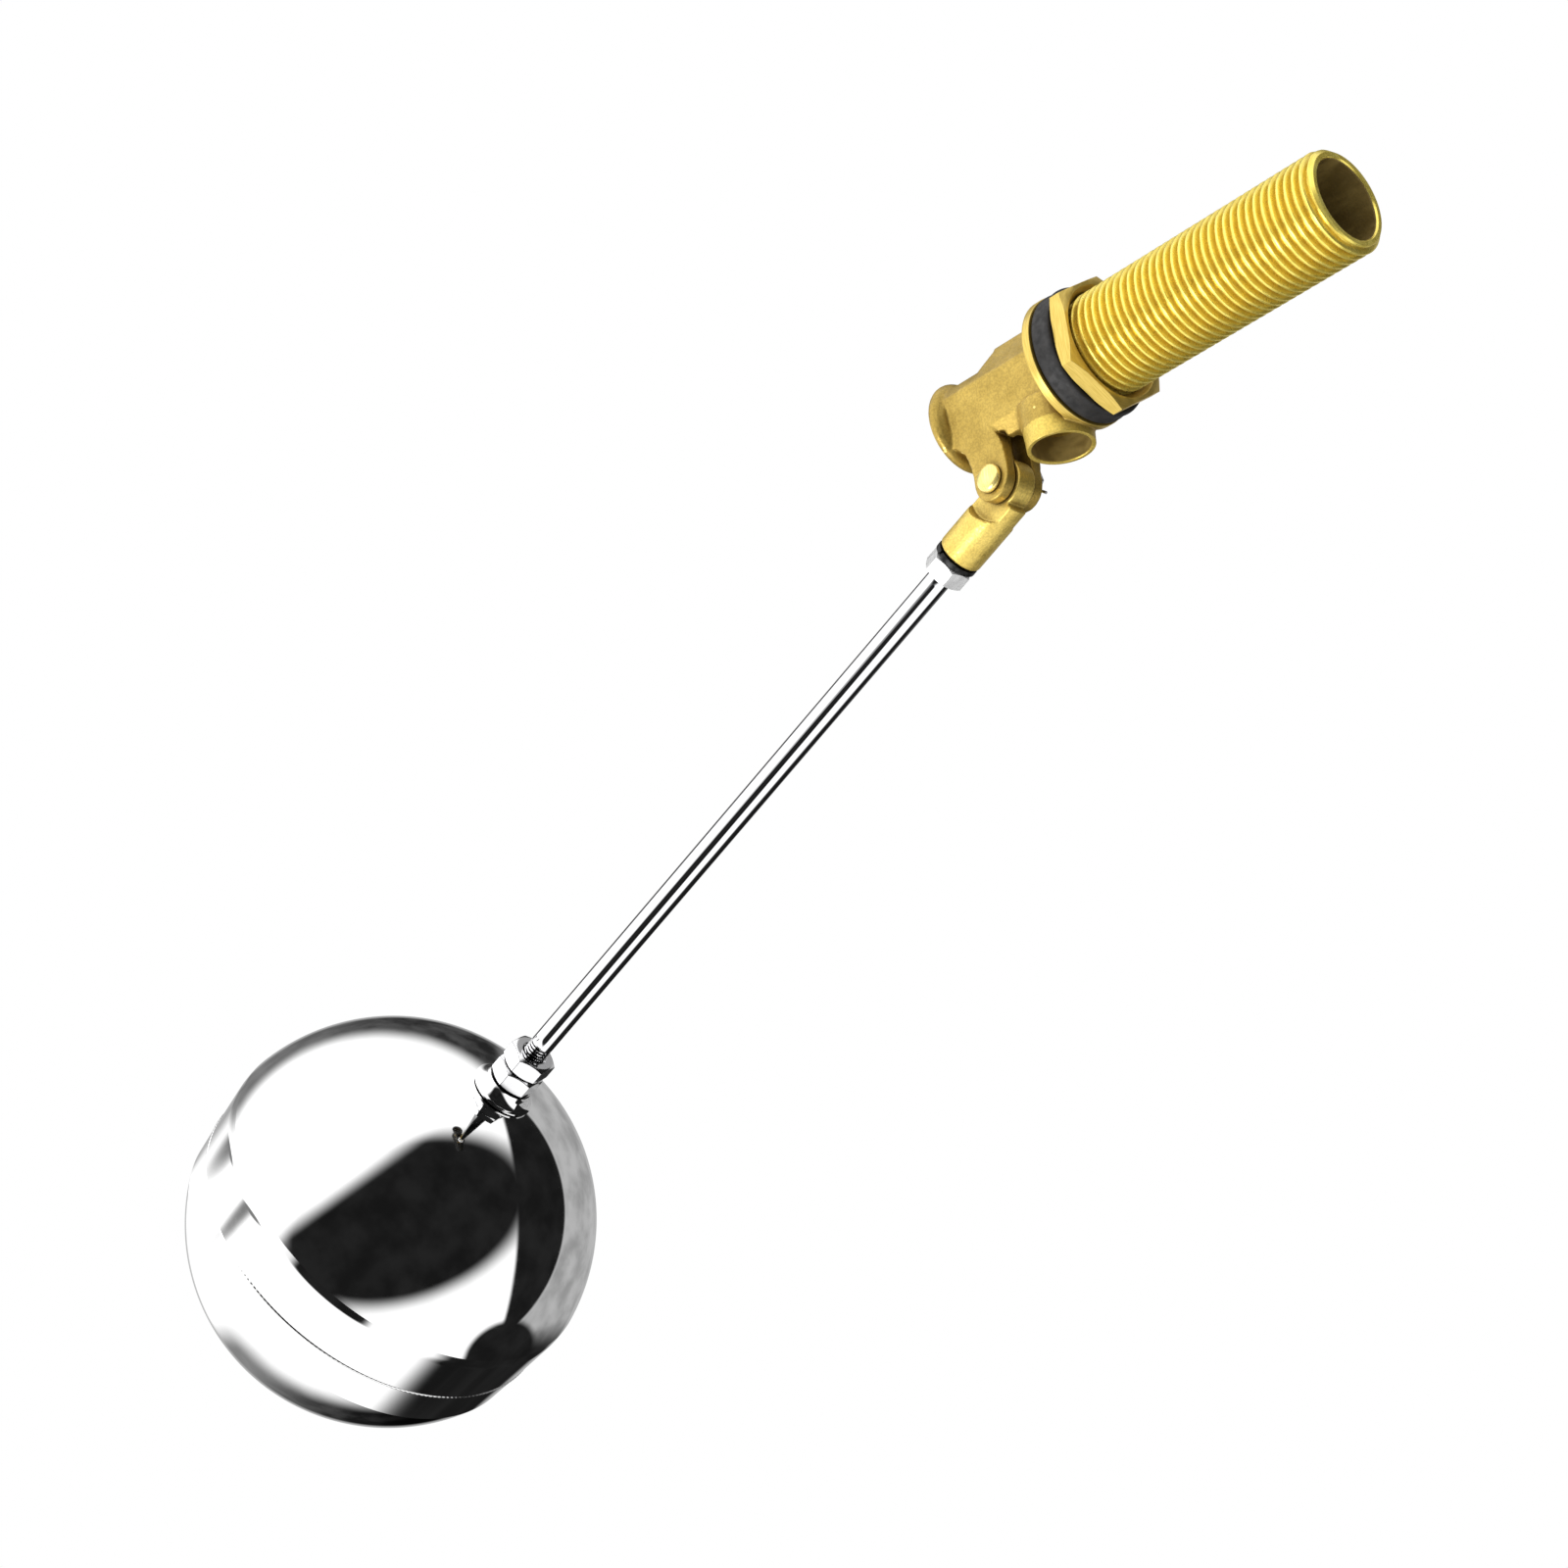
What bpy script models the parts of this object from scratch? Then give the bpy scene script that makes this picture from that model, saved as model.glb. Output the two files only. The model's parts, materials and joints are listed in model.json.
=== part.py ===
"""Lever float valve with a long threaded inlet and a hollow ball float.

Frame: origin on the inlet's end face, at the top of its ring, where the supply pipe's
washer seats. +X runs along the inlet thread towards the supply pipe, +Z is up, the outlet
nozzle points down, and the lever's pivot pin lies along Y. Units are metres.

The shapes are laid out from a datum: the point where the flange's sealing face crosses the
inlet axis. An empty at the datum carries them all to their places in the frame.
"""

from math import cos, pi, radians, sin, sqrt

import bmesh
import bpy
from mathutils import Matrix, Vector

MM = 0.001

# Fits
GAP = 0.3 * MM                      # clearance left between neighbouring pieces

# Inlet spigot: G 1/2 parallel pipe thread
THREAD_CREST = 20.955 / 2 * MM
THREAD_ROOT = 18.631 / 2 * MM
THREAD_PITCH = 1.814 * MM
THREAD_START = 1.0 * MM
THREAD_SEGMENTS = 24
SPIGOT_END = 66.5 * MM
SPIGOT_END_RADIUS = 9.2 * MM
SPIGOT_BORE = 8.1 * MM

# The datum, seen from the middle of the top of the inlet's end ring
DATUM = (-SPIGOT_END, 0.0, -(SPIGOT_BORE + SPIGOT_END_RADIUS) / 2)

# Flange, gasket and clamping nut
FLANGE_RADIUS = 13.6 * MM
FLANGE_THICKNESS = 1.8 * MM
FLANGE_TAPER_END = 4.4 * MM         # distance behind the sealing face
FLANGE_TAPER_RADIUS = 8.6 * MM
GASKET_RADIUS = 13.5 * MM
GASKET_THICKNESS = 4.5 * MM
GASKET_EDGE = 0.7 * MM
NUT_ACROSS_FLATS = 25.0 * MM
NUT_THICKNESS = 3.6 * MM
NUT_BORE = THREAD_CREST + GAP
NUT_COUNTERSINK = 11.7 * MM
NUT_TURN = radians(2.0)

# Valve chest and the rear guide behind it
CHEST_FRONT = -1.0 * MM
CHEST_REAR = -16.8 * MM
SHOULDER_REAR = -20.0 * MM
SIDE = 7.5 * MM                     # half width at the top of the flat sides
SIDE_TOP = 3.2 * MM
SIDE_BOTTOM = -14.0 * MM            # the sides lean in to the ears down to here
CHEST_TOP = 9.9 * MM
CHEST_TOP_HALF_WIDTH = 4.2 * MM
CHEST_SIDE_BOTTOM = -6.3 * MM
CHEST_BOTTOM = -9.5 * MM
CHEST_BOTTOM_HALF_WIDTH = 4.2 * MM
GUIDE_RADIUS = 8.2 * MM
GUIDE_REAR = -30.8 * MM
BEAD_RADIUS = 9.6 * MM
BEAD_FRONT = -28.6 * MM
BEAD_REAR = -32.0 * MM

# Waterway
CHAMBER_RADIUS = 5.2 * MM
SEAT_FACE = -1.0 * MM
SEAT_GROOVE = -0.2 * MM
SEAT_LIP_RADIUS = 3.7 * MM
ORIFICE_RADIUS = 2.8 * MM
ORIFICE_END = 3.5 * MM
NOZZLE_X = -7.4 * MM
NOZZLE_MOUTH = -15.3 * MM
NOZZLE_RADIUS = 6.6 * MM
NOZZLE_BORE = 5.8 * MM

# Fork and pivot
PIVOT_X = -21.8 * MM
PIVOT_Z = -16.6 * MM
EAR_RADIUS = 4.4 * MM
EAR_OUTER = 5.0 * MM
EAR_INNER = 2.6 * MM
EAR_ROOT_X = -29.4 * MM             # rear of the ears where they leave the guide
EAR_FRONT_CURVE = 8.0 * MM
FORK_SLOT_REAR = -28.5 * MM
FORK_SLOT_FRONT = -15.4 * MM
PIN_RADIUS = 1.75 * MM
PIN_HOLE = PIN_RADIUS + GAP
PIN_HEAD_RADIUS = 2.85 * MM
PIN_HEAD_HEIGHT = 1.5 * MM
PIN_END = 7.6 * MM
COTTER_Y = 6.4 * MM
COTTER_HOLE = 1.05 * MM
COTTER_WIRE = 0.35 * MM

# Lever: distances along the arm are measured from the pivot
ARM_DIP = radians(22.0)
ARM_DROP = 2.1 * MM                 # the arm's axis passes this far below the pivot
HUB_RADIUS = 5.0 * MM
TONGUE_HALF = 2.25 * MM
POCKET_RADIUS = 8.0 * MM            # round flats on both sides of the tongue, for the ears
SOCKET_END = 17.1 * MM
SOCKET_RADIUS = 4.7 * MM
FINGER_REACH = 15.2 * MM            # pivot to the centre of the rounded finger tip
FINGER_TIP = 2.0 * MM
FINGER_NECK = 1.3 * MM
FINGER_HALF = 1.4 * MM

# Piston: the closed valve is CLOSING_TRAVEL ahead of the modelled position
CLOSING_TRAVEL = 3.8 * MM
PISTON_RADIUS = CHAMBER_RADIUS - GAP
PISTON_FRONT = -6.1 * MM
PISTON_REAR = -26.4 * MM
PISTON_SLOT_HALF = 2.7 * MM
PISTON_SLOT_TOP = 1.5 * MM
WASHER_RADIUS = 4.0 * MM
WASHER_THICKNESS = 2.3 * MM
WASHER_FRONT = SEAT_FACE - GAP - CLOSING_TRAVEL

# Float rod and its M5 hardware
ROD_RADIUS = 2.5 * MM
ROD_HOLE = ROD_RADIUS + GAP
ROD_START = 9.8 * MM
ROD_END = 183.8 * MM
LOCK_WASHER_THICKNESS = 1.1 * MM
LOCK_NUT_TURN = radians(30.0)
LOCK_WASHER_RADIUS = 4.6 * MM
M5_ACROSS_FLATS = 8.0 * MM
M5_THICKNESS = 4.0 * MM

# Ball float
ARM_LENGTH = 224.8 * MM             # pivot to ball centre
BALL_RADIUS = 45.0 * MM
SHELL_THICKNESS = 0.6 * MM
SEAM_FROM_POLE = radians(97.5)      # the seam runs a little beyond the equator
SHELL_EDGE = 0.6 * MM               # shell edge to the middle of the seam
SHELL_HOLE = 3.4 * MM
BOSS_ACROSS_FLATS = 9.5 * MM
BOSS_THICKNESS = 4.3 * MM
COLLAR_RADIUS = 7.2 * MM
COLLAR_TOP_RADIUS = 5.2 * MM
COLLAR_HEIGHT = 2.8 * MM
SEAM_HALF_WIDTH = 0.45 * MM
SEAM_HEIGHT = 0.75 * MM

SHARP_ANGLE = radians(24.0)         # edges at least this sharp stay crisp
UPRIGHT = (0.0, 0.0, 0.0)
ALONG_X = (0.0, pi / 2, 0.0)        # turns a shape's local Z to +X
ALONG_ARM = (0.0, -pi / 2, 0.0)     # turns a shape's local Z to -X, the arm's direction
ALONG_Y = (-pi / 2, 0.0, 0.0)       # turns a shape's local Z to +Y


# ---------------------------------------------------------------- scene helpers

def clear_scene():
    for obj in list(bpy.data.objects):
        bpy.data.objects.remove(obj, do_unlink=True)


def new_collection(name):
    collection = bpy.data.collections.new(name)
    bpy.context.scene.collection.children.link(collection)
    return collection


def principled(name, colour, roughness, metallic):
    material = bpy.data.materials.new(name)
    material.use_nodes = True
    shader = material.node_tree.nodes["Principled BSDF"]
    shader.inputs["Base Color"].default_value = (*colour, 1.0)
    shader.inputs["Roughness"].default_value = roughness
    shader.inputs["Metallic"].default_value = metallic
    return material


def add_object(name, mesh, collection, rotation=(0.0, 0.0, 0.0), location=(0.0, 0.0, 0.0)):
    obj = bpy.data.objects.new(name, mesh)
    obj.rotation_euler = rotation
    obj.location = location
    collection.objects.link(obj)
    return obj


def as_tool(obj):
    """Keep a Boolean operand in the scene without showing it as a part."""
    obj.hide_render = True
    obj.display_type = "WIRE"
    return obj


def combine(target, tool, operation):
    modifier = target.modifiers.new(operation.title(), "BOOLEAN")
    modifier.operation = operation
    modifier.solver = "EXACT"
    modifier.object = as_tool(tool)


def new_empty(name, location, rotation, collection):
    empty = bpy.data.objects.new(name, None)
    empty.location = location
    empty.rotation_euler = rotation
    collection.objects.link(empty)
    return empty


def bake(collection):
    """Replace each part's mesh by its evaluated one."""
    graph = bpy.context.evaluated_depsgraph_get()
    made = {obj: bpy.data.meshes.new_from_object(obj.evaluated_get(graph))
            for obj in collection.objects if obj.type == "MESH"}
    for obj, mesh in made.items():
        obj.modifiers.clear()
        obj.data = mesh


def hang_from(datum, collection):
    """Parent everything in a collection that has no parent yet to the datum."""
    for obj in collection.objects:
        if obj.parent is None and obj is not datum:
            obj.parent = datum


def finish(obj, material, parent=None):
    """Give a part its material, its parent and smooth shading with crisp edges."""
    obj.data.materials.clear()
    obj.data.materials.append(material)
    obj.data.shade_smooth()
    obj.data.set_sharp_from_angle(angle=SHARP_ANGLE)
    obj.parent = parent
    return obj


# ---------------------------------------------------------------- shape helpers

def turned(name, profile, steps, collection, rotation=ALONG_X, location=(0.0, 0.0, 0.0), closed=False):
    """Turn a (radius, height) profile that runs down its outer side, top to bottom."""
    mesh = bpy.data.meshes.new(name)
    points = [(radius, 0.0, height) for radius, height in profile]
    edges = [(i, i + 1) for i in range(len(points) - 1)]
    if closed:
        edges.append((len(points) - 1, 0))
    mesh.from_pydata(points, edges, [])
    obj = add_object(name, mesh, collection, rotation, location)
    screw = obj.modifiers.new("Turn", "SCREW")
    screw.angle = 2 * pi
    screw.steps = steps
    screw.render_steps = steps
    screw.use_merge_vertices = True
    screw.merge_threshold = 0.00001
    return obj


def rod_shape(name, radius, low, high, steps, collection, rotation, location=(0.0, 0.0, 0.0)):
    profile = [(0.0, high), (radius, high), (radius, low), (0.0, low)]
    return turned(name, profile, steps, collection, rotation, location)


def slab(name, outline, half_thickness, collection, rotation=(0.0, 0.0, 0.0), location=(0.0, 0.0, 0.0)):
    """A flat outline in local XY, thickened both ways along local Z, as a welded mesh."""
    curve = bpy.data.curves.new(name + "_outline", "CURVE")
    curve.dimensions = "2D"
    curve.fill_mode = "BOTH"
    curve.extrude = half_thickness
    spline = curve.splines.new("POLY")
    spline.points.add(len(outline) - 1)
    for point, (x, y) in zip(spline.points, outline):
        point.co = (x, y, 0.0, 1.0)
    spline.use_cyclic_u = True
    holder = bpy.data.objects.new(name + "_outline", curve)
    collection.objects.link(holder)
    mesh = mesh_from(holder)
    bpy.data.objects.remove(holder, do_unlink=True)
    return add_object(name, mesh, collection, rotation, location)


def mesh_from(holder):
    """Evaluated mesh of a curve object, with its loose caps welded and its faces outward."""
    graph = bpy.context.evaluated_depsgraph_get()
    mesh = bpy.data.meshes.new_from_object(holder.evaluated_get(graph))
    work = bmesh.new()
    work.from_mesh(mesh)
    bmesh.ops.remove_doubles(work, verts=work.verts, dist=0.00001)
    bmesh.ops.recalc_face_normals(work, faces=work.faces)
    work.to_mesh(mesh)
    work.free()
    return mesh


def arc(centre, radius, start, end, count):
    """Points on an arc, angles in degrees from local +X towards local +Y."""
    points = []
    for i in range(count + 1):
        angle = radians(start + (end - start) * i / count)
        points.append((centre[0] + radius * cos(angle), centre[1] + radius * sin(angle)))
    return points


def box(name, low, high, collection):
    work = bmesh.new()
    bmesh.ops.create_cube(work, size=1.0)
    size = Vector(high) - Vector(low)
    placed = Matrix.Translation((Vector(high) + Vector(low)) / 2) @ Matrix.Diagonal((*size, 1.0))
    bmesh.ops.transform(work, matrix=placed, verts=work.verts)
    mesh = bpy.data.meshes.new(name)
    work.to_mesh(mesh)
    work.free()
    return add_object(name, mesh, collection)


def hexagon(name, across_flats, low, high, collection, rotation, turn=0.0):
    """A six-sided prism along its local Z, from low to high, with a corner on local X."""
    work = bmesh.new()
    corner = across_flats / sqrt(3.0)
    bmesh.ops.create_cone(work, cap_ends=True, segments=6, radius1=corner, radius2=corner, depth=high - low)
    placed = Matrix.Translation((0.0, 0.0, (high + low) / 2)) @ Matrix.Rotation(turn + pi / 6, 4, "Z")
    bmesh.ops.transform(work, matrix=placed, verts=work.verts)
    mesh = bpy.data.meshes.new(name)
    work.to_mesh(mesh)
    work.free()
    return add_object(name, mesh, collection, rotation)


def helix_thread(name, low, high, collection):
    """An endless-looking threaded bar along local Z, a little longer than low to high.

    Rows follow the helix, crest and root in turn, so two rows make one pitch and the end of
    a row meets the start of the row two further on.
    """
    rows = 2 * int((high - low) / THREAD_PITCH) + 8
    last = THREAD_SEGMENTS - 1
    work = bmesh.new()
    grid = {}
    for row in range(rows + 1):
        for column in range(THREAD_SEGMENTS):
            height = low + THREAD_PITCH * (row / 2 + column / THREAD_SEGMENTS - 2)
            radius = THREAD_CREST if row % 2 else THREAD_ROOT
            angle = 2 * pi * column / THREAD_SEGMENTS
            grid[row, column] = work.verts.new((radius * cos(angle), radius * sin(angle), height))
    for row in range(rows):
        for column in range(last):
            work.faces.new((grid[row, column], grid[row, column + 1],
                            grid[row + 1, column + 1], grid[row + 1, column]))
        if row + 3 <= rows:
            work.faces.new((grid[row, last], grid[row + 2, 0], grid[row + 3, 0], grid[row + 1, last]))
    bottom = [grid[0, column] for column in range(THREAD_SEGMENTS)]
    bottom += [grid[2, 0], grid[1, 0]]
    top = [grid[rows, column] for column in range(THREAD_SEGMENTS)]
    top += [grid[rows - 1, last], grid[rows - 2, last]]
    for ring, height in ((bottom, low - 4 * THREAD_PITCH), (top, high + 4 * THREAD_PITCH)):
        centre = work.verts.new((0.0, 0.0, height))
        for i, vertex in enumerate(ring):
            work.faces.new((centre, vertex, ring[(i + 1) % len(ring)]))
    bmesh.ops.recalc_face_normals(work, faces=work.faces)
    mesh = bpy.data.meshes.new(name)
    work.to_mesh(mesh)
    work.free()
    return add_object(name, mesh, collection, ALONG_X)


# ---------------------------------------------------------------- valve body

def side_at(height):
    """Half width of the leaning side faces at a height."""
    return SIDE - (SIDE - EAR_OUTER) * (SIDE_TOP - height) / (SIDE_TOP - SIDE_BOTTOM)


def mirrored(right):
    """Close a (y, z) outline given from bottom to top on its +Y side."""
    return right + [(-y, z) for y, z in reversed(right)]


def chest_outline():
    return mirrored([(CHEST_BOTTOM_HALF_WIDTH, CHEST_BOTTOM),
                     (side_at(CHEST_SIDE_BOTTOM), CHEST_SIDE_BOTTOM),
                     (SIDE, SIDE_TOP), (CHEST_TOP_HALF_WIDTH, CHEST_TOP)])


def side_planes(tools):
    """Everything between the two leaning side faces, behind the flange."""
    outline = mirrored([(EAR_OUTER, PIVOT_Z - EAR_RADIUS - 1.0 * MM), (EAR_OUTER, SIDE_BOTTOM),
                        (SIDE, SIDE_TOP), (SIDE, CHEST_TOP + 2.0 * MM)])
    return cross_section("side_planes", outline, -10.0 * MM, -35.0 * MM, tools)


def cross_section(name, outline, front, rear, tools):
    """Extrude a (y, z) outline along X between two stations."""
    middle = ((front + rear) / 2, 0.0, 0.0)
    return slab(name, outline, (front - rear) / 2, tools, (pi / 2, 0.0, pi / 2), middle)


def fork_block(tools):
    """Both ears as one block: a side outline, narrowed towards the pivot by the side planes."""
    pivot = (PIVOT_X, PIVOT_Z)
    left, right = PIVOT_X - EAR_RADIUS, PIVOT_X + EAR_RADIUS
    side = [(EAR_ROOT_X, SIDE_TOP), (EAR_ROOT_X, -6.5 * MM), (-26.8 * MM, -9.2 * MM), (left, -12.5 * MM)]
    side += arc(pivot, EAR_RADIUS, 180.0, 360.0, 14)
    side += arc((right - EAR_FRONT_CURVE, -12.0 * MM), EAR_FRONT_CURVE, 0.0, 60.0, 5)
    side += [(SHOULDER_REAR + 1.0 * MM, SIDE_TOP)]
    block = slab("fork_side", side, 9.0 * MM, tools, (pi / 2, 0.0, 0.0))
    combine(block, side_planes(tools), "INTERSECT")
    return block


def guide(tools):
    """Round guide behind the chest, with the same leaning flat sides."""
    front = CHEST_REAR + 2.0 * MM
    profile = [(0.0, front), (GUIDE_RADIUS, front), (GUIDE_RADIUS, GUIDE_REAR), (0.0, GUIDE_REAR)]
    barrel = turned("guide", profile, 40, tools)
    combine(barrel, side_planes(tools), "INTERSECT")
    return barrel


def shoulder(tools):
    """Sloping step from the chest down to the round guide."""
    low = CHEST_BOTTOM + 1.0 * MM
    outline = [(SHOULDER_REAR, 6.0 * MM), (CHEST_REAR + 0.5 * MM, CHEST_TOP - 0.2 * MM),
               (CHEST_REAR + 0.5 * MM, low), (SHOULDER_REAR, low + 1.0 * MM)]
    wedge = slab("shoulder_side", outline, SIDE, tools, (pi / 2, 0.0, 0.0))
    front, rear = CHEST_REAR + 1.0 * MM, SHOULDER_REAR - 1.0 * MM
    combine(wedge, cross_section("shoulder_front", chest_outline(), front, rear, tools), "INTERSECT")
    return wedge


def waterway_cutters(tools):
    """Inlet bore, seat orifice, piston chamber and outlet bore."""
    bore = [(0.0, SPIGOT_END + 1.0 * MM), (SPIGOT_BORE, SPIGOT_END + 1.0 * MM),
            (SPIGOT_BORE, ORIFICE_END + 2.0 * MM), (ORIFICE_RADIUS + 1.0 * MM, ORIFICE_END),
            (ORIFICE_RADIUS, ORIFICE_END),
            (ORIFICE_RADIUS, SEAT_FACE - 1.0 * MM), (0.0, SEAT_FACE - 1.0 * MM)]
    yield turned("inlet_bore", bore, 32, tools)
    chamber = [(0.0, SEAT_FACE), (SEAT_LIP_RADIUS, SEAT_FACE), (SEAT_LIP_RADIUS + 0.2 * MM, SEAT_GROOVE),
               (CHAMBER_RADIUS, SEAT_GROOVE), (CHAMBER_RADIUS, BEAD_REAR - 1.0 * MM),
               (0.0, BEAD_REAR - 1.0 * MM)]
    yield turned("chamber_bore", chamber, 28, tools)
    yield rod_shape("outlet_bore", NOZZLE_BORE, NOZZLE_MOUTH - 1.0 * MM, -2.0 * MM, 32, tools, UPRIGHT,
                    (NOZZLE_X, 0.0, 0.0))


def thread_envelope(tools):
    """What the threaded bar is cut back to: flat ends, with a lead chamfer at the inlet."""
    beyond = THREAD_CREST + 1.0 * MM
    profile = [(0.0, SPIGOT_END), (SPIGOT_END_RADIUS, SPIGOT_END),
               (beyond, SPIGOT_END + SPIGOT_END_RADIUS - beyond), (beyond, THREAD_START),
               (0.0, THREAD_START)]
    return turned("thread_envelope", profile, THREAD_SEGMENTS, tools)


def body_additions(tools):
    """Everything that is cast in one with the threaded spigot."""
    flange = [(0.0, 0.0), (FLANGE_RADIUS - 0.3 * MM, 0.0), (FLANGE_RADIUS, -0.3 * MM),
              (FLANGE_RADIUS, -FLANGE_THICKNESS),
              (FLANGE_TAPER_RADIUS + 1.2 * MM, -FLANGE_THICKNESS - 0.9 * MM),
              (FLANGE_TAPER_RADIUS, -FLANGE_TAPER_END), (0.0, -FLANGE_TAPER_END)]
    yield turned("flange", flange, 48, tools)
    yield rod_shape("spigot_root", THREAD_ROOT, -1.0 * MM, THREAD_START + 0.2 * MM, THREAD_SEGMENTS,
                    tools, ALONG_X)
    yield cross_section("chest", chest_outline(), CHEST_FRONT, CHEST_REAR, tools)
    yield shoulder(tools)
    yield guide(tools)
    bead = [(0.0, BEAD_FRONT), (GUIDE_RADIUS - 0.4 * MM, BEAD_FRONT),
            (BEAD_RADIUS - 0.5 * MM, BEAD_FRONT - 0.9 * MM), (BEAD_RADIUS, BEAD_FRONT - 1.7 * MM),
            (BEAD_RADIUS, BEAD_REAR + 1.0 * MM), (BEAD_RADIUS - 0.4 * MM, BEAD_REAR + 0.35 * MM),
            (BEAD_RADIUS - 1.3 * MM, BEAD_REAR), (0.0, BEAD_REAR)]
    yield turned("rear_bead", bead, 40, tools)
    nozzle = [(0.0, -6.0 * MM), (7.5 * MM, -6.0 * MM), (7.3 * MM, -9.0 * MM), (6.8 * MM, -12.0 * MM),
              (NOZZLE_RADIUS, NOZZLE_MOUTH), (0.0, NOZZLE_MOUTH)]
    yield turned("nozzle", nozzle, 36, tools, UPRIGHT, (NOZZLE_X, 0.0, 0.0))
    yield fork_block(tools)


def valve_body(parts, tools, brass):
    body = helix_thread("valve_body", THREAD_START, SPIGOT_END, parts)
    combine(body, thread_envelope(tools), "INTERSECT")
    for piece in body_additions(tools):
        combine(body, piece, "UNION")
    for piece in waterway_cutters(tools):
        combine(body, piece, "DIFFERENCE")
    slot = box("fork_slot", (FORK_SLOT_REAR, -EAR_INNER, -26.0 * MM), (FORK_SLOT_FRONT, EAR_INNER, -3.5 * MM),
               tools)
    combine(body, slot, "DIFFERENCE")
    holes = rod_shape("ear_holes", PIN_HOLE, -9.0 * MM, 9.0 * MM, 20, tools, ALONG_Y, (PIVOT_X, 0.0, PIVOT_Z))
    combine(body, holes, "DIFFERENCE")
    return finish(body, brass)


# ---------------------------------------------------------------- flange hardware

def mounting_gasket(parts, rubber):
    low, high = GAP, GAP + GASKET_THICKNESS
    inner = THREAD_CREST + GAP
    profile = [(inner, high), (GASKET_RADIUS - GASKET_EDGE, high), (GASKET_RADIUS, high - GASKET_EDGE),
               (GASKET_RADIUS, low + GASKET_EDGE), (GASKET_RADIUS - GASKET_EDGE, low), (inner, low)]
    return finish(turned("mounting_gasket", profile, 40, parts, closed=True), rubber)


def mounting_nut(parts, tools, brass):
    low = 2 * GAP + GASKET_THICKNESS
    high = low + NUT_THICKNESS
    nut = hexagon("mounting_nut", NUT_ACROSS_FLATS, low, high, parts, ALONG_X, NUT_TURN)
    depth = NUT_COUNTERSINK - NUT_BORE
    bore = [(0.0, high + 1.0 * MM), (NUT_COUNTERSINK + 1.0 * MM, high + 1.0 * MM),
            (NUT_BORE, high - depth), (NUT_BORE, low - 1.0 * MM), (0.0, low - 1.0 * MM)]
    combine(nut, turned("nut_bore", bore, 40, tools), "DIFFERENCE")
    return finish(nut, brass)


# ---------------------------------------------------------------- piston

def piston(parts, tools, brass):
    chamfer = 0.5 * MM
    profile = [(0.0, PISTON_FRONT), (PISTON_RADIUS - chamfer, PISTON_FRONT),
               (PISTON_RADIUS, PISTON_FRONT - chamfer), (PISTON_RADIUS, PISTON_REAR + chamfer),
               (PISTON_RADIUS - chamfer, PISTON_REAR), (0.0, PISTON_REAR)]
    plunger = turned("piston", profile, 28, parts)
    recess = rod_shape("washer_recess", WASHER_RADIUS + GAP, WASHER_FRONT - WASHER_THICKNESS - GAP,
                       PISTON_FRONT + 1.0 * MM, 28, tools, ALONG_X)
    combine(plunger, recess, "DIFFERENCE")
    reach = FINGER_HALF + 2 * GAP
    slot = box("finger_slot", (PIVOT_X - PISTON_SLOT_HALF, -reach, -9.0 * MM),
               (PIVOT_X + PISTON_SLOT_HALF, reach, PISTON_SLOT_TOP), tools)
    combine(plunger, slot, "DIFFERENCE")
    return finish(plunger, brass)


def seat_washer(parts, rubber):
    rear = WASHER_FRONT - WASHER_THICKNESS
    edge = 0.2 * MM
    profile = [(0.0, WASHER_FRONT), (WASHER_RADIUS - edge, WASHER_FRONT),
               (WASHER_RADIUS, WASHER_FRONT - edge), (WASHER_RADIUS, rear), (0.0, rear)]
    return finish(turned("seat_washer", profile, 28, parts), rubber)


# ---------------------------------------------------------------- pivot pin

def pivot_pin(parts, tools, brass):
    """Domed head at -Y, shank through the fork, cross hole for the split pin at +Y."""
    under_head = -EAR_OUTER - GAP
    rim = 0.4 * MM
    dome = [(PIN_HEAD_RADIUS * x, under_head - rim - (PIN_HEAD_HEIGHT - rim) * y)
            for y, x in arc((0.0, 0.0), 1.0, 90.0, 0.0, 4)]
    profile = [(0.0, PIN_END), (PIN_RADIUS - 0.4 * MM, PIN_END), (PIN_RADIUS, PIN_END - 0.4 * MM),
               (PIN_RADIUS, under_head), (PIN_HEAD_RADIUS, under_head)] + dome
    pin = turned("pivot_pin", profile, 20, parts, ALONG_Y, (PIVOT_X, 0.0, PIVOT_Z))
    hole = rod_shape("cotter_hole", COTTER_HOLE, -5.0 * MM, 5.0 * MM, 12, tools, ALONG_X,
                     (PIVOT_X, COTTER_Y, PIVOT_Z))
    combine(pin, hole, "DIFFERENCE")
    return finish(pin, brass)


def cotter_pin(parts, steel):
    """Split pin along X: its eye behind the pin, one leg bent up and the other bent down."""
    leg = 0.4 * MM
    path = [(3.0 * MM, 7.2 * MM), (2.3 * MM, 4.6 * MM), (3.1 * MM, 1.4 * MM), (2.2 * MM, leg)]
    path += [(-2.2 * MM, leg)]
    path += arc((-3.4 * MM, 0.0), 0.95 * MM, 30.0, 330.0, 8)
    path += [(-2.2 * MM, -leg), (2.2 * MM, -leg), (3.6 * MM, -1.5 * MM)]
    curve = bpy.data.curves.new("cotter_wire", "CURVE")
    curve.dimensions = "3D"
    curve.bevel_depth = COTTER_WIRE
    curve.bevel_resolution = 1
    curve.use_fill_caps = True
    spline = curve.splines.new("POLY")
    spline.points.add(len(path) - 1)
    for point, (x, z) in zip(spline.points, path):
        point.co = (x, 0.0, z, 1.0)
    holder = bpy.data.objects.new("cotter_wire", curve)
    parts.objects.link(holder)
    mesh = mesh_from(holder)
    bpy.data.objects.remove(holder, do_unlink=True)
    return finish(add_object("cotter_pin", mesh, parts, location=(PIVOT_X, COTTER_Y, PIVOT_Z)), steel)


# ---------------------------------------------------------------- lever arm

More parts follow.
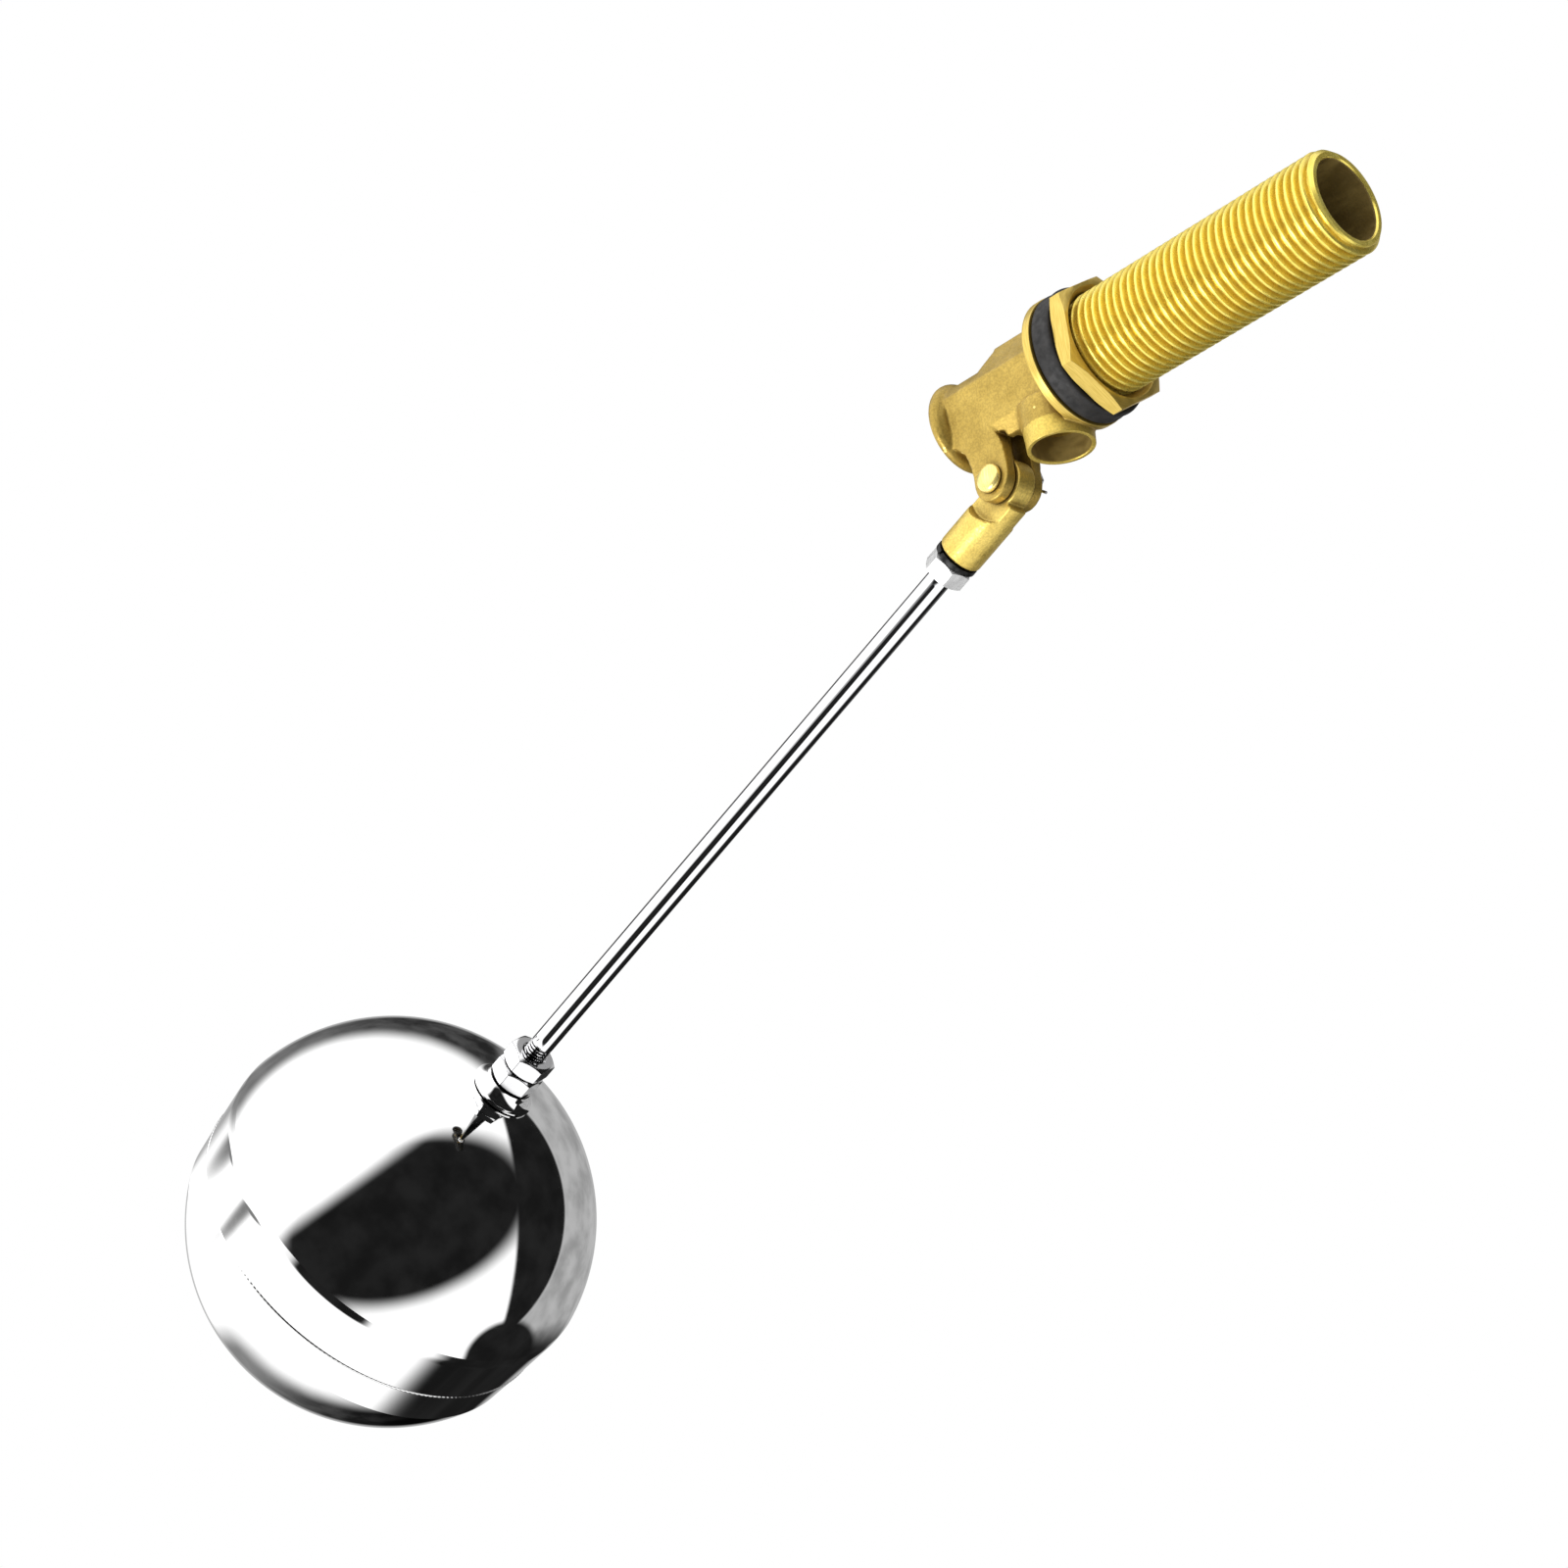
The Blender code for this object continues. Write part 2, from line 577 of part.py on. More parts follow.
def finger(tools):
    """Short arm that stands up from the hub and works the piston."""
    outline = [(FINGER_NECK + 0.9 * MM, 2.0 * MM), (FINGER_NECK, 7.0 * MM)]
    outline += arc((0.0, FINGER_REACH), FINGER_TIP, -50.0, 230.0, 12)
    outline += [(-FINGER_NECK, 7.0 * MM), (-FINGER_NECK - 0.9 * MM, 2.0 * MM)]
    return slab("finger", outline, FINGER_HALF, tools, (pi / 2, 0.0, 0.0))


def side_pocket(name, near, far, tools):
    """Round clearance beside the tongue, between two distances from the lever's middle."""
    return rod_shape(name, POCKET_RADIUS, near, far, 40, tools, ALONG_Y)


def lever_arm(parts, tools, brass, pivot, arm):
    """A hub round the pivot and a round socket on the arm's axis, cut to a tongue at the fork."""
    lever = rod_shape("lever_arm", HUB_RADIUS, -TONGUE_HALF, TONGUE_HALF, 32, parts, ALONG_Y)
    lever.parent = pivot
    edge = 0.4 * MM
    socket = [(0.0, SOCKET_END), (SOCKET_RADIUS - edge, SOCKET_END), (SOCKET_RADIUS, SOCKET_END - edge),
              (SOCKET_RADIUS, 1.0 * MM), (0.0, 1.0 * MM)]
    barrel = turned("socket", socket, 32, tools, ALONG_ARM)
    stem = finger(tools)
    stem.rotation_euler = (pi / 2, ARM_DIP, 0.0)
    beyond = SOCKET_RADIUS + 1.0 * MM
    pockets = [side_pocket("near_pocket", -beyond, -TONGUE_HALF, tools),
               side_pocket("far_pocket", TONGUE_HALF, beyond, tools)]
    pin_hole = rod_shape("lever_pin_hole", PIN_HOLE, -6.0 * MM, 6.0 * MM, 20, tools, ALONG_Y)
    bore_bottom = ROD_START - 2 * GAP
    bore = rod_shape("socket_bore", ROD_HOLE, bore_bottom, SOCKET_END + 1.0 * MM, 20, tools, ALONG_ARM)
    steps = [(barrel, arm, "UNION"), (pockets[0], pivot, "DIFFERENCE"), (pockets[1], pivot, "DIFFERENCE"),
             (stem, pivot, "UNION"), (pin_hole, pivot, "DIFFERENCE"), (bore, arm, "DIFFERENCE")]
    for piece, carrier, operation in steps:
        piece.parent = carrier
        combine(lever, piece, operation)
    return finish(lever, brass, pivot)


# ---------------------------------------------------------------- rod hardware

def chamfered_nut(name, across_flats, start, thickness, parts, tools, metal, arm, turn=0.0):
    """Hex nut on the arm, its corners turned off at both ends."""
    end = start + thickness
    nut = hexagon(name, across_flats, start, end, parts, ALONG_ARM, turn)
    corner = across_flats / sqrt(3.0)
    fall = (corner - across_flats / 2 + 0.1 * MM) * 0.6
    crown = [(0.0, end), (across_flats / 2 - 0.1 * MM, end), (corner, end - fall), (corner, start + fall),
             (across_flats / 2 - 0.1 * MM, start), (0.0, start)]
    turned_off = turned(name + "_crown", crown, 24, tools, ALONG_ARM)
    bore = rod_shape(name + "_bore", ROD_HOLE, start - 1.0 * MM, end + 1.0 * MM, 20, tools, ALONG_ARM)
    for tool, operation in ((turned_off, "INTERSECT"), (bore, "DIFFERENCE")):
        tool.parent = arm
        combine(nut, tool, operation)
    return finish(nut, metal, arm)


def arm_lock_washer(parts, tools, blackened, arm):
    """Split spring washer between the lever's socket and its lock nut."""
    start = SOCKET_END + GAP
    end = start + LOCK_WASHER_THICKNESS
    profile = [(ROD_HOLE, end), (LOCK_WASHER_RADIUS, end), (LOCK_WASHER_RADIUS, start), (ROD_HOLE, start)]
    washer = turned("arm_lock_washer", profile, 28, parts, ALONG_ARM, closed=True)
    low = (-end - 1.0 * MM, -0.4 * MM, 0.0)
    high = (-start + 1.0 * MM, 0.4 * MM, LOCK_WASHER_RADIUS + 1.0 * MM)
    split = box("washer_split", low, high, tools)
    split.parent = arm
    combine(washer, split, "DIFFERENCE")
    return finish(washer, blackened, arm)


def float_rod(parts, chrome, arm):
    chamfer = 0.5 * MM
    profile = [(0.0, ROD_END), (ROD_RADIUS - chamfer, ROD_END), (ROD_RADIUS, ROD_END - chamfer),
               (ROD_RADIUS, ROD_START + chamfer), (ROD_RADIUS - chamfer, ROD_START), (0.0, ROD_START)]
    return finish(turned("float_rod", profile, 20, parts, ALONG_ARM), chrome, arm)


# ---------------------------------------------------------------- ball float

def shell_point(radius, from_pole):
    """Profile point of the ball at an angle from the pole that faces the pivot."""
    return radius * sin(from_pole), ARM_LENGTH - radius * cos(from_pole)


def float_shell(name, first, last, parts, steel, arm):
    """Pressed shell: an open arc turned round the arm, thickened inwards."""
    count = 9
    angles = [first + (last - first) * i / count for i in range(count + 1)]
    profile = [shell_point(BALL_RADIUS, angle) for angle in reversed(angles)]
    if last > pi - 0.001:
        profile[0] = (0.0, ARM_LENGTH + BALL_RADIUS)
    shell = turned(name, profile, 36, parts, ALONG_ARM)
    wall = shell.modifiers.new("Wall", "SOLIDIFY")
    wall.thickness = SHELL_THICKNESS
    wall.offset = -1.0
    return finish(shell, steel, arm)


def boss_collar(parts, steel, arm):
    """Flared collar between the ball's crown and the boss nut."""
    crown = ARM_LENGTH - sqrt(BALL_RADIUS ** 2 - COLLAR_RADIUS ** 2)
    seat = crown - GAP
    base = ARM_LENGTH - BALL_RADIUS - GAP
    top = base - COLLAR_HEIGHT
    profile = [(ROD_HOLE, base), (COLLAR_RADIUS, seat), (COLLAR_RADIUS, seat - 0.3 * MM),
               (COLLAR_TOP_RADIUS + 0.7 * MM, top + 0.9 * MM), (COLLAR_TOP_RADIUS, top), (ROD_HOLE, top)]
    return finish(turned("boss_collar", profile, 32, parts, ALONG_ARM, closed=True), steel, arm)


def seam_weld(parts, steel, arm):
    """Weld bead in the gap between the two shells."""
    radius, height = shell_point(BALL_RADIUS - 0.05 * MM, SEAM_FROM_POLE)
    ring = arc((0.0, 0.0), 1.0, 90.0, -270.0, 10)[:-1]
    profile = [(radius + x * SEAM_HEIGHT, height + z * SEAM_HALF_WIDTH) for x, z in ring]
    return finish(turned("seam_weld", profile, 48, parts, ALONG_ARM, closed=True), steel, arm)


def ball_float(parts, tools, steel, chrome, arm):
    edge = SHELL_EDGE / BALL_RADIUS
    hole = SHELL_HOLE / BALL_RADIUS
    float_shell("float_upper_shell", hole, SEAM_FROM_POLE - edge, parts, steel, arm)
    float_shell("float_lower_shell", SEAM_FROM_POLE + edge, pi, parts, steel, arm)
    seam_weld(parts, steel, arm)
    boss_collar(parts, steel, arm)
    boss = ARM_LENGTH - BALL_RADIUS - COLLAR_HEIGHT - 2 * GAP - BOSS_THICKNESS
    lock = boss - GAP - BOSS_THICKNESS
    chamfered_nut("float_boss_nut", BOSS_ACROSS_FLATS, boss, BOSS_THICKNESS, parts, tools, chrome, arm)
    chamfered_nut("float_lock_nut", BOSS_ACROSS_FLATS, lock, BOSS_THICKNESS, parts, tools, chrome, arm)


# ---------------------------------------------------------------- assembly

def main():
    clear_scene()
    parts = new_collection("float_valve")
    tools = new_collection("cutters")
    brass = principled("cast_brass", (0.72, 0.50, 0.14), 0.38, 1.0)
    bright_brass = principled("machined_brass", (0.86, 0.66, 0.20), 0.24, 1.0)
    rubber = principled("black_rubber", (0.02, 0.02, 0.022), 0.62, 0.0)
    chrome = principled("bright_chrome", (0.80, 0.80, 0.82), 0.08, 1.0)
    stainless = principled("polished_stainless", (0.74, 0.74, 0.75), 0.10, 1.0)
    blackened = principled("blackened_steel", (0.04, 0.04, 0.045), 0.45, 1.0)

    pivot = new_empty("lever_pivot", (PIVOT_X, 0.0, PIVOT_Z), (0.0, -ARM_DIP, 0.0), parts)
    arm = new_empty("arm_axis", (0.0, 0.0, -ARM_DROP), UPRIGHT, parts)
    arm.parent = pivot

    valve_body(parts, tools, brass)
    mounting_gasket(parts, rubber)
    mounting_nut(parts, tools, bright_brass)
    piston(parts, tools, bright_brass)
    seat_washer(parts, rubber)
    pivot_pin(parts, tools, bright_brass)
    cotter_pin(parts, stainless)
    lever_arm(parts, tools, brass, pivot, arm)
    arm_lock_washer(parts, tools, blackened, arm)
    lock_nut = SOCKET_END + LOCK_WASHER_THICKNESS + 2 * GAP
    chamfered_nut("arm_lock_nut", M5_ACROSS_FLATS, lock_nut, M5_THICKNESS, parts, tools, chrome, arm,
                  LOCK_NUT_TURN)
    float_rod(parts, chrome, arm)
    ball_float(parts, tools, stainless, chrome, arm)

    bake(parts)
    datum = new_empty("datum", DATUM, UPRIGHT, parts)
    hang_from(datum, parts)
    hang_from(datum, tools)


main()
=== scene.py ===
import json
from math import cos, pi, radians, sin, sqrt, tan

import bmesh
import bpy
import numpy as np
from mathutils import Matrix, Vector


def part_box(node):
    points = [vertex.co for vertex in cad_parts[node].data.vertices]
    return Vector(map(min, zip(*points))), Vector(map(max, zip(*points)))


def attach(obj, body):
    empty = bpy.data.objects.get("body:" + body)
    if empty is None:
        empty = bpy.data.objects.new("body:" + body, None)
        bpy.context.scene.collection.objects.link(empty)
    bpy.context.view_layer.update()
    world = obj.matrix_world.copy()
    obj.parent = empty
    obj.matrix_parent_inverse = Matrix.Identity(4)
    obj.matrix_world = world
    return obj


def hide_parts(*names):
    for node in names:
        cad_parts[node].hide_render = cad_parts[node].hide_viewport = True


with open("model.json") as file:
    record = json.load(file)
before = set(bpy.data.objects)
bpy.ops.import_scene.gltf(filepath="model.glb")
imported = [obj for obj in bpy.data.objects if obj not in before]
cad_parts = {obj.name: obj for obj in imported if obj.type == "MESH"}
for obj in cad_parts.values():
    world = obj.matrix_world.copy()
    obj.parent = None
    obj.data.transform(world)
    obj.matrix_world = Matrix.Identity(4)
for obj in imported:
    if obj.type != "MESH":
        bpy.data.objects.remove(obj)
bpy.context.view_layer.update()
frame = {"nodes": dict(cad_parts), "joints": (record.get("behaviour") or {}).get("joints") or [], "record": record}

# Fine surfaces, materials, studio surroundings and camera for the lever float valve.
# DATUM is where the flange's sealing face crosses the inlet axis. ARM_START is the foot of the
# lever's pivot on the arm's axis, and lengths along the arm are measured from it.

MM = 0.001
GAP = 0.3 * MM                      # clearance between neighbouring pieces in the frame

# Places taken from the frame
PIVOT = Vector(next(joint["pos_m"] for joint in frame["joints"] if joint["name"] == "lever_pivot"))
SEAM_LOW, SEAM_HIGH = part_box("seam_weld")
ROD_LOW, ROD_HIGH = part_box("float_rod")
ARM = (SEAM_LOW + SEAM_HIGH - ROD_LOW - ROD_HIGH).normalized()
ROD_MIDDLE = (ROD_LOW + ROD_HIGH) / 2
ARM_START = ROD_MIDDLE + ARM * (PIVOT - ROD_MIDDLE).dot(ARM)
BODY_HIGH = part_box("valve_body")[1]
GASKET_LOW, GASKET_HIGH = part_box("mounting_gasket")
DATUM = Vector((GASKET_LOW.x - GAP, 0.0, (GASKET_LOW.z + GASKET_HIGH.z) / 2))
INLET = Vector((1.0, 0.0, 0.0))
MOUNTS = {mount["name"]: Vector(mount["pos_m"]) for mount in frame["record"]["mounts"]}

# Inlet spigot, G 1/2
CREST = 10.48 * MM
ROOT = 9.32 * MM
PITCH = 1.814 * MM
SPIGOT_BORE = 8.1 * MM
SPIGOT_LIP = 9.3 * MM
ORIFICE = 2.8 * MM

# Flange and nozzle
FLANGE_RADIUS = 13.6 * MM
FLANGE_THICKNESS = 1.85 * MM
NOZZLE_RADIUS = 6.64 * MM
NOZZLE_BORE = 5.76 * MM

# Rod and ball
ROD_CREST = 2.5 * MM
ROD_ROOT = 1.94 * MM
ROD_PITCH = 0.8 * MM
BALL_RADIUS = 45.0 * MM
HOLE_ANGLE = 0.0755                 # half angle, in radians, of the hole under the collar
SHELL_THICKNESS = 0.6 * MM
BAND_START = radians(-10.5)         # edges of the flatter band either side of the seam,
BAND_END = radians(19.0)            # as angles past the equator
BAND_LEAN = radians(3.5)            # the band still widens a little where it starts
BAND_TURN = 2.2 * MM                # how far from its start it turns inward
WELD_RADIUS = 43.4 * MM
RIPPLES = 236                       # ripples round the weld bead


# ---------------------------------------------------------------- meshes

def place(origin, direction, side):
    """Matrix of a local frame with Z along direction and X along side."""
    z = Vector(direction).normalized()
    y = z.cross(Vector(side)).normalized()
    x = y.cross(z)
    matrix = Matrix((x, y, z)).transposed().to_4x4()
    matrix.translation = Vector(origin)
    return matrix


ON_INLET = place(DATUM, INLET, (0.0, 1.0, 0.0))
ON_ARM = place(ARM_START, ARM, (0.0, 1.0, 0.0))
ON_PIN = place((PIVOT.x, 0.0, PIVOT.z), (0.0, 1.0, 0.0), (1.0, 0.0, 0.0))
ON_NOZZLE = place((MOUNTS["outlet_mouth"].x, 0.0, DATUM.z), (0.0, 0.0, 1.0), (1.0, 0.0, 0.0))


def span(node_name, direction=ARM, origin=ARM_START):
    """First and last distance of a CAD node along an axis."""
    along = [(vertex.co - origin).dot(direction) for vertex in frame["nodes"][node_name].data.vertices]
    return min(along), max(along)


def reach(node_name, direction=ARM, origin=ARM_START):
    """Greatest distance of a CAD node from an axis."""
    offsets = [vertex.co - origin for vertex in frame["nodes"][node_name].data.vertices]
    return max((offset - direction * offset.dot(direction)).length for offset in offsets)


BALL_REACH = span("float_lower_shell")[1] - BALL_RADIUS
BALL = ARM_START + ARM * BALL_REACH
SEAM_REACH = sum(span("seam_weld")) / 2


def new_object(name, mesh):
    obj = bpy.data.objects.new(name, mesh)
    bpy.context.scene.collection.objects.link(obj)
    return obj


def applied(obj):
    """Bake an object's modifiers into its mesh."""
    graph = bpy.context.evaluated_depsgraph_get()
    baked = bpy.data.meshes.new_from_object(obj.evaluated_get(graph))
    obj.modifiers.clear()
    obj.data = baked
    return obj


def shade(obj, sharp=radians(24.0)):
    obj.data.shade_smooth()
    obj.data.set_sharp_from_angle(angle=sharp)
    return obj


def rings(name, radii, heights, matrix, steps, closed=False):
    """A surface of rings round local Z. A radius is one number, or one number per step.

    The rings run down the outer side. A closed surface then comes back up its bore.
    """
    angles = np.arange(steps) * 2 * pi / steps
    radii = np.array([np.broadcast_to(radius, steps) for radius in radii])
    levels = np.broadcast_to(np.array(heights)[:, None], radii.shape)
    points = np.stack([radii * np.cos(angles), radii * np.sin(angles), levels], axis=-1).reshape(-1, 3)
    rows = np.arange(len(heights) if closed else len(heights) - 1)[:, None]
    below = (rows + 1) % len(heights)
    here = np.arange(steps)[None, :]
    after = (here + 1) % steps
    faces = np.stack([rows * steps + here, below * steps + here, below * steps + after,
                      rows * steps + after], axis=-1)
    mesh = bpy.data.meshes.new(name)
    mesh.from_pydata(points.tolist(), [], faces.reshape(-1, 4).tolist())
    work = bmesh.new()
    work.from_mesh(mesh)
    bmesh.ops.transform(work, matrix=matrix, verts=work.verts)
    if not closed:
        bmesh.ops.remove_doubles(work, verts=work.verts, dist=0.000001)
    work.to_mesh(mesh)
    work.free()
    return shade(new_object(name, mesh))


def rounded(outline, radius, closed=False, count=5):
    """The same (radius, height) outline with its corners rounded off."""
    points = [Vector(point) for point in outline]
    result = []
    for i, corner in enumerate(points):
        if not closed and i in (0, len(points) - 1):
            result.append(corner)
            continue
        before, after = points[i - 1] - corner, points[(i + 1) % len(points)] - corner
        size = min(radius, 0.45 * before.length, 0.45 * after.length)
        start, end = corner + before.normalized() * size, corner + after.normalized() * size
        for step in range(count + 1):
            t = step / count
            result.append(start * (1 - t) ** 2 + corner * 2 * t * (1 - t) + end * t ** 2)
    return result


def turned(name, outline, matrix, steps=144, closed=False):
    return rings(name, [x for x, _ in outline], [z for _, z in outline], matrix, steps, closed)


def paint_rows(obj, steps, first_row, last_row, index):
    """Give the faces of some rows of a ring surface another material slot."""
    slots = np.zeros(len(obj.data.polygons), dtype=np.int32)
    slots[first_row * steps:last_row * steps] = index
    obj.data.polygons.foreach_set("material_index", slots)


def thread_radii(heights, steps, crest, root, pitch):
    """Right-hand thread with rounded crests and roots, as one radius per height and angle."""
    turn = np.arange(steps)[None, :] / steps
    wave = np.cos(2 * pi * (np.array(heights)[:, None] / pitch - turn))
    return root + (crest - root) * np.clip(0.5 + 0.72 * wave, 0.0, 1.0)


def combine(obj, tool, operation):
    modifier = obj.modifiers.new(operation.title(), "BOOLEAN")
    modifier.operation = operation
    modifier.solver = "EXACT"
    modifier.object = tool


def cut_to_shape(obj, steps):
    """Apply Boolean steps in turn, and remove their tools."""
    for tool, operation in steps:
        combine(obj, tool, operation)
    applied(obj)
    for tool, _ in steps:
        bpy.data.objects.remove(tool, do_unlink=True)
    return shade(obj)


def block(name, centre, size, matrix=Matrix.Identity(4)):
    work = bmesh.new()
    bmesh.ops.create_cube(work, size=1.0)
    shape = matrix @ Matrix.Translation(centre) @ Matrix.Diagonal((*size, 1.0))
    bmesh.ops.transform(work, matrix=shape, verts=work.verts)
    mesh = bpy.data.meshes.new(name)
    work.to_mesh(mesh)
    work.free()
    return new_object(name, mesh)


def softened(node_name, name, voxel, passes, keep=None):
    """Fine copy of a CAD node, or of what a box keeps of it, with small rounded edges."""
    obj = new_object(name, frame["nodes"][node_name].data.copy())
    if keep is not None:
        cut_to_shape(obj, [(keep, "INTERSECT")])
    remesh = obj.modifiers.new("Fine", "REMESH")
    remesh.mode = "VOXEL"
    remesh.voxel_size = voxel
    relax = obj.modifiers.new("Fillets", "SMOOTH")
    relax.factor = 0.5
    relax.iterations = passes
    applied(obj)
    obj.data.shade_smooth()
    return obj


# ---------------------------------------------------------------- node trees

def wire(tree, socket, value):
    """Link a socket to another node's output, or set it to a number, vector or colour."""
    if isinstance(value, bpy.types.NodeSocket):
        tree.links.new(value, socket)
    else:
        socket.default_value = value


def node(tree, kind, inputs, **settings):
    made = tree.nodes.new(kind)
    for key, value in settings.items():
        setattr(made, key, value)
    for key, value in inputs.items():
        wire(tree, made.inputs[key], value)
    return made


def maths(tree, operation, first, second=0.0):
    return node(tree, "ShaderNodeMath", {0: first, 1: second}, operation=operation).outputs[0]


def dot(tree, first, second):
    return node(tree, "ShaderNodeVectorMath", {0: first, 1: second}, operation="DOT_PRODUCT").outputs["Value"]


def remap(tree, value, low, high, to_low=0.0, to_high=1.0):
    """Smoothly map low..high to to_low..to_high."""
    inputs = {"Value": value, "From Min": low, "From Max": high, "To Min": to_low, "To Max": to_high}
    return node(tree, "ShaderNodeMapRange", inputs, interpolation_type="SMOOTHSTEP").outputs["Result"]


def mixed(tree, factor, first, second, mode="MIX"):
    return node(tree, "ShaderNodeMix", {0: factor, 6: first, 7: second}, data_type="RGBA",
                blend_type=mode).outputs[2]


def grey(level):
    return (level, level, level, 1.0)


def stretched(tree, scale):
    """The piece's own coordinates, stretched by a factor along each axis."""
    place_of = node(tree, "ShaderNodeTexCoord", {}).outputs["Object"]
    return node(tree, "ShaderNodeMapping", {"Vector": place_of, "Scale": scale}).outputs["Vector"]


def noise(tree, scale, detail=3.0, stretch=(1.0, 1.0, 1.0)):
    inputs = {"Vector": stretched(tree, stretch), "Scale": scale, "Detail": detail}
    return node(tree, "ShaderNodeTexNoise", inputs).outputs[0]


def bumped(tree, height, distance, strength=1.0, normal=None):
    inputs = {"Height": height, "Distance": distance, "Strength": strength}
    if normal is not None:
        inputs["Normal"] = normal
    return node(tree, "ShaderNodeBump", inputs).outputs["Normal"]


def soft_edges(tree, radius):
    return node(tree, "ShaderNodeBevel", {"Radius": radius}, samples=6).outputs["Normal"]


def painted_shade_mask(tree, distance):
    """Mask for painted shade: 0 in the open, 1 deep in a corner or a groove."""
    occlusion = node(tree, "ShaderNodeAmbientOcclusion", {"Distance": distance}, samples=6).outputs["AO"]
    return remap(tree, occlusion, 1.0, 0.25)


FAR_AWAY = 0.11                     # shorter than the way from the lever's end to the ball


def painted_dark_far_reflection(tree):
    """1 for mirror rays from as far away as the float. Brass turns near-black for these rays: a painted dark
    reflection of the valve in the float.
    """
    paths = node(tree, "ShaderNodeLightPath", {}).outputs
    distant = maths(tree, "GREATER_THAN", paths["Ray Length"], FAR_AWAY)
    return maths(tree, "MULTIPLY", paths["Is Glossy Ray"], distant)


def new_material(name, **inputs):
    material = bpy.data.materials.new(name)
    material.use_nodes = True
    tree = material.node_tree
    shader = tree.nodes["Principled BSDF"]
    for key, value in inputs.items():
        wire(tree, shader.inputs[key.replace("_", " ").title()], value)
    return material, tree, shader


# ---------------------------------------------------------------- materials

def cast_brass(name, dark, light):
    """Blasted casting: fine grain and faint drag lines, with painted shade in its corners and painted highlights
    on its convex edges.
    """
    material, tree, shader = new_material(name, metallic=BRASS_SHEEN)
    patches = remap(tree, noise(tree, 160.0, 5.0), 0.3, 0.7)
    tone = mixed(tree, patches, dark, light)
    speck = remap(tree, noise(tree, 2400.0, 3.0), 0.36, 0.64, 0.84, 1.07)
    specks = node(tree, "ShaderNodeCombineColor", {0: speck, 1: speck, 2: speck}).outputs[0]
    tone = mixed(tree, 1.0, tone, specks, "MULTIPLY")
    # Painted shade: corners and recesses darken to brown.
    tone = mixed(tree, painted_shade_mask(tree, 3.5 * MM), tone, (0.15, 0.08, 0.012, 1.0))
    # Painted highlight: convex edges turn pale gold.
    highlight_edges = node(tree, "ShaderNodeNewGeometry", {}).outputs["Pointiness"]
    tone = mixed(tree, remap(tree, highlight_edges, 0.535, 0.61, 0.0, 0.8), tone, (0.95, 0.76, 0.25, 1.0))
    # Painted dark reflection: near-black in the float's distant mirror rays.
    wire(tree, shader.inputs["Base Color"], mixed(tree, painted_dark_far_reflection(tree), tone, grey(0.01)))
    wire(tree, shader.inputs["Roughness"], remap(tree, noise(tree, 900.0), 0.3, 0.7, 0.34, 0.50))
    lines = noise(tree, 260.0, 3.0, (1.0, 9.0, 9.0))
    grain = bumped(tree, noise(tree, 2000.0, 5.0), 0.05 * MM, 0.6)
    wire(tree, shader.inputs["Normal"], bumped(tree, lines, 0.07 * MM, 0.5, grain))
    return material


def turned_brass(name, dark, light, roughness, groove_shade):
    """Machined brass with tool marks round the inlet axis. Grooves get painted shade, darkened by a factor."""
    material, tree, shader = new_material(name, metallic=BRASS_SHEEN)
    marks = noise(tree, 500.0, 3.0, (12.0, 0.6, 0.6))
    tone = mixed(tree, remap(tree, marks, 0.3, 0.7), dark, light)
    # Painted shade in grooves and recesses: a darker, deeper tone.
    groove_shade_tone = (groove_shade * dark[0], 0.92 * groove_shade * dark[1], 0.8 * groove_shade * dark[2], 1.0)
    tone = mixed(tree, painted_shade_mask(tree, 1.2 * MM), tone, groove_shade_tone)
    # Painted dark reflection: near-black in the float's distant mirror rays.
    wire(tree, shader.inputs["Base Color"], mixed(tree, painted_dark_far_reflection(tree), tone, grey(0.01)))
    rough = remap(tree, noise(tree, 700.0), 0.3, 0.7, roughness - 0.05, roughness + 0.07)
    wire(tree, shader.inputs["Roughness"], rough)
    worn = bumped(tree, noise(tree, 800.0, 4.0), 0.03 * MM, 0.12, soft_edges(tree, 0.18 * MM))
    wire(tree, shader.inputs["Normal"], bumped(tree, marks, 0.02 * MM, 0.15, worn))
    return material


def dark_brown_bore():
    """Unpolished inside of the waterway: rough, and darker and browner than the outside."""
    material, tree, shader = new_material("dark_brown_bore", metallic=0.3)
    patches = remap(tree, noise(tree, 300.0, 5.0, (0.3, 1.0, 1.0)), 0.35, 0.7)
    tone = mixed(tree, patches, (0.20, 0.135, 0.035, 1.0), (0.38, 0.27, 0.08, 1.0))
    wire(tree, shader.inputs["Base Color"], tone)
    wire(tree, shader.inputs["Roughness"], remap(tree, noise(tree, 800.0), 0.3, 0.7, 0.42, 0.62))
    rough = noise(tree, 500.0, 4.0, (4.0, 1.0, 1.0))
    wire(tree, shader.inputs["Normal"], bumped(tree, rough, 0.06 * MM, 0.6))
    return material


def black_rubber():
    material, tree, shader = new_material("black_rubber")
    bloom = remap(tree, noise(tree, 350.0, 5.0), 0.35, 0.75)
    tone = mixed(tree, bloom, (0.006, 0.0055, 0.0055, 1.0), (0.019, 0.017, 0.016, 1.0))
    wire(tree, shader.inputs["Base Color"], tone)
    wire(tree, shader.inputs["Roughness"], remap(tree, noise(tree, 900.0), 0.3, 0.7, 0.55, 0.75))
    wire(tree, shader.inputs["Normal"], bumped(tree, noise(tree, 2200.0, 4.0), 0.05 * MM, 0.6))
    return material


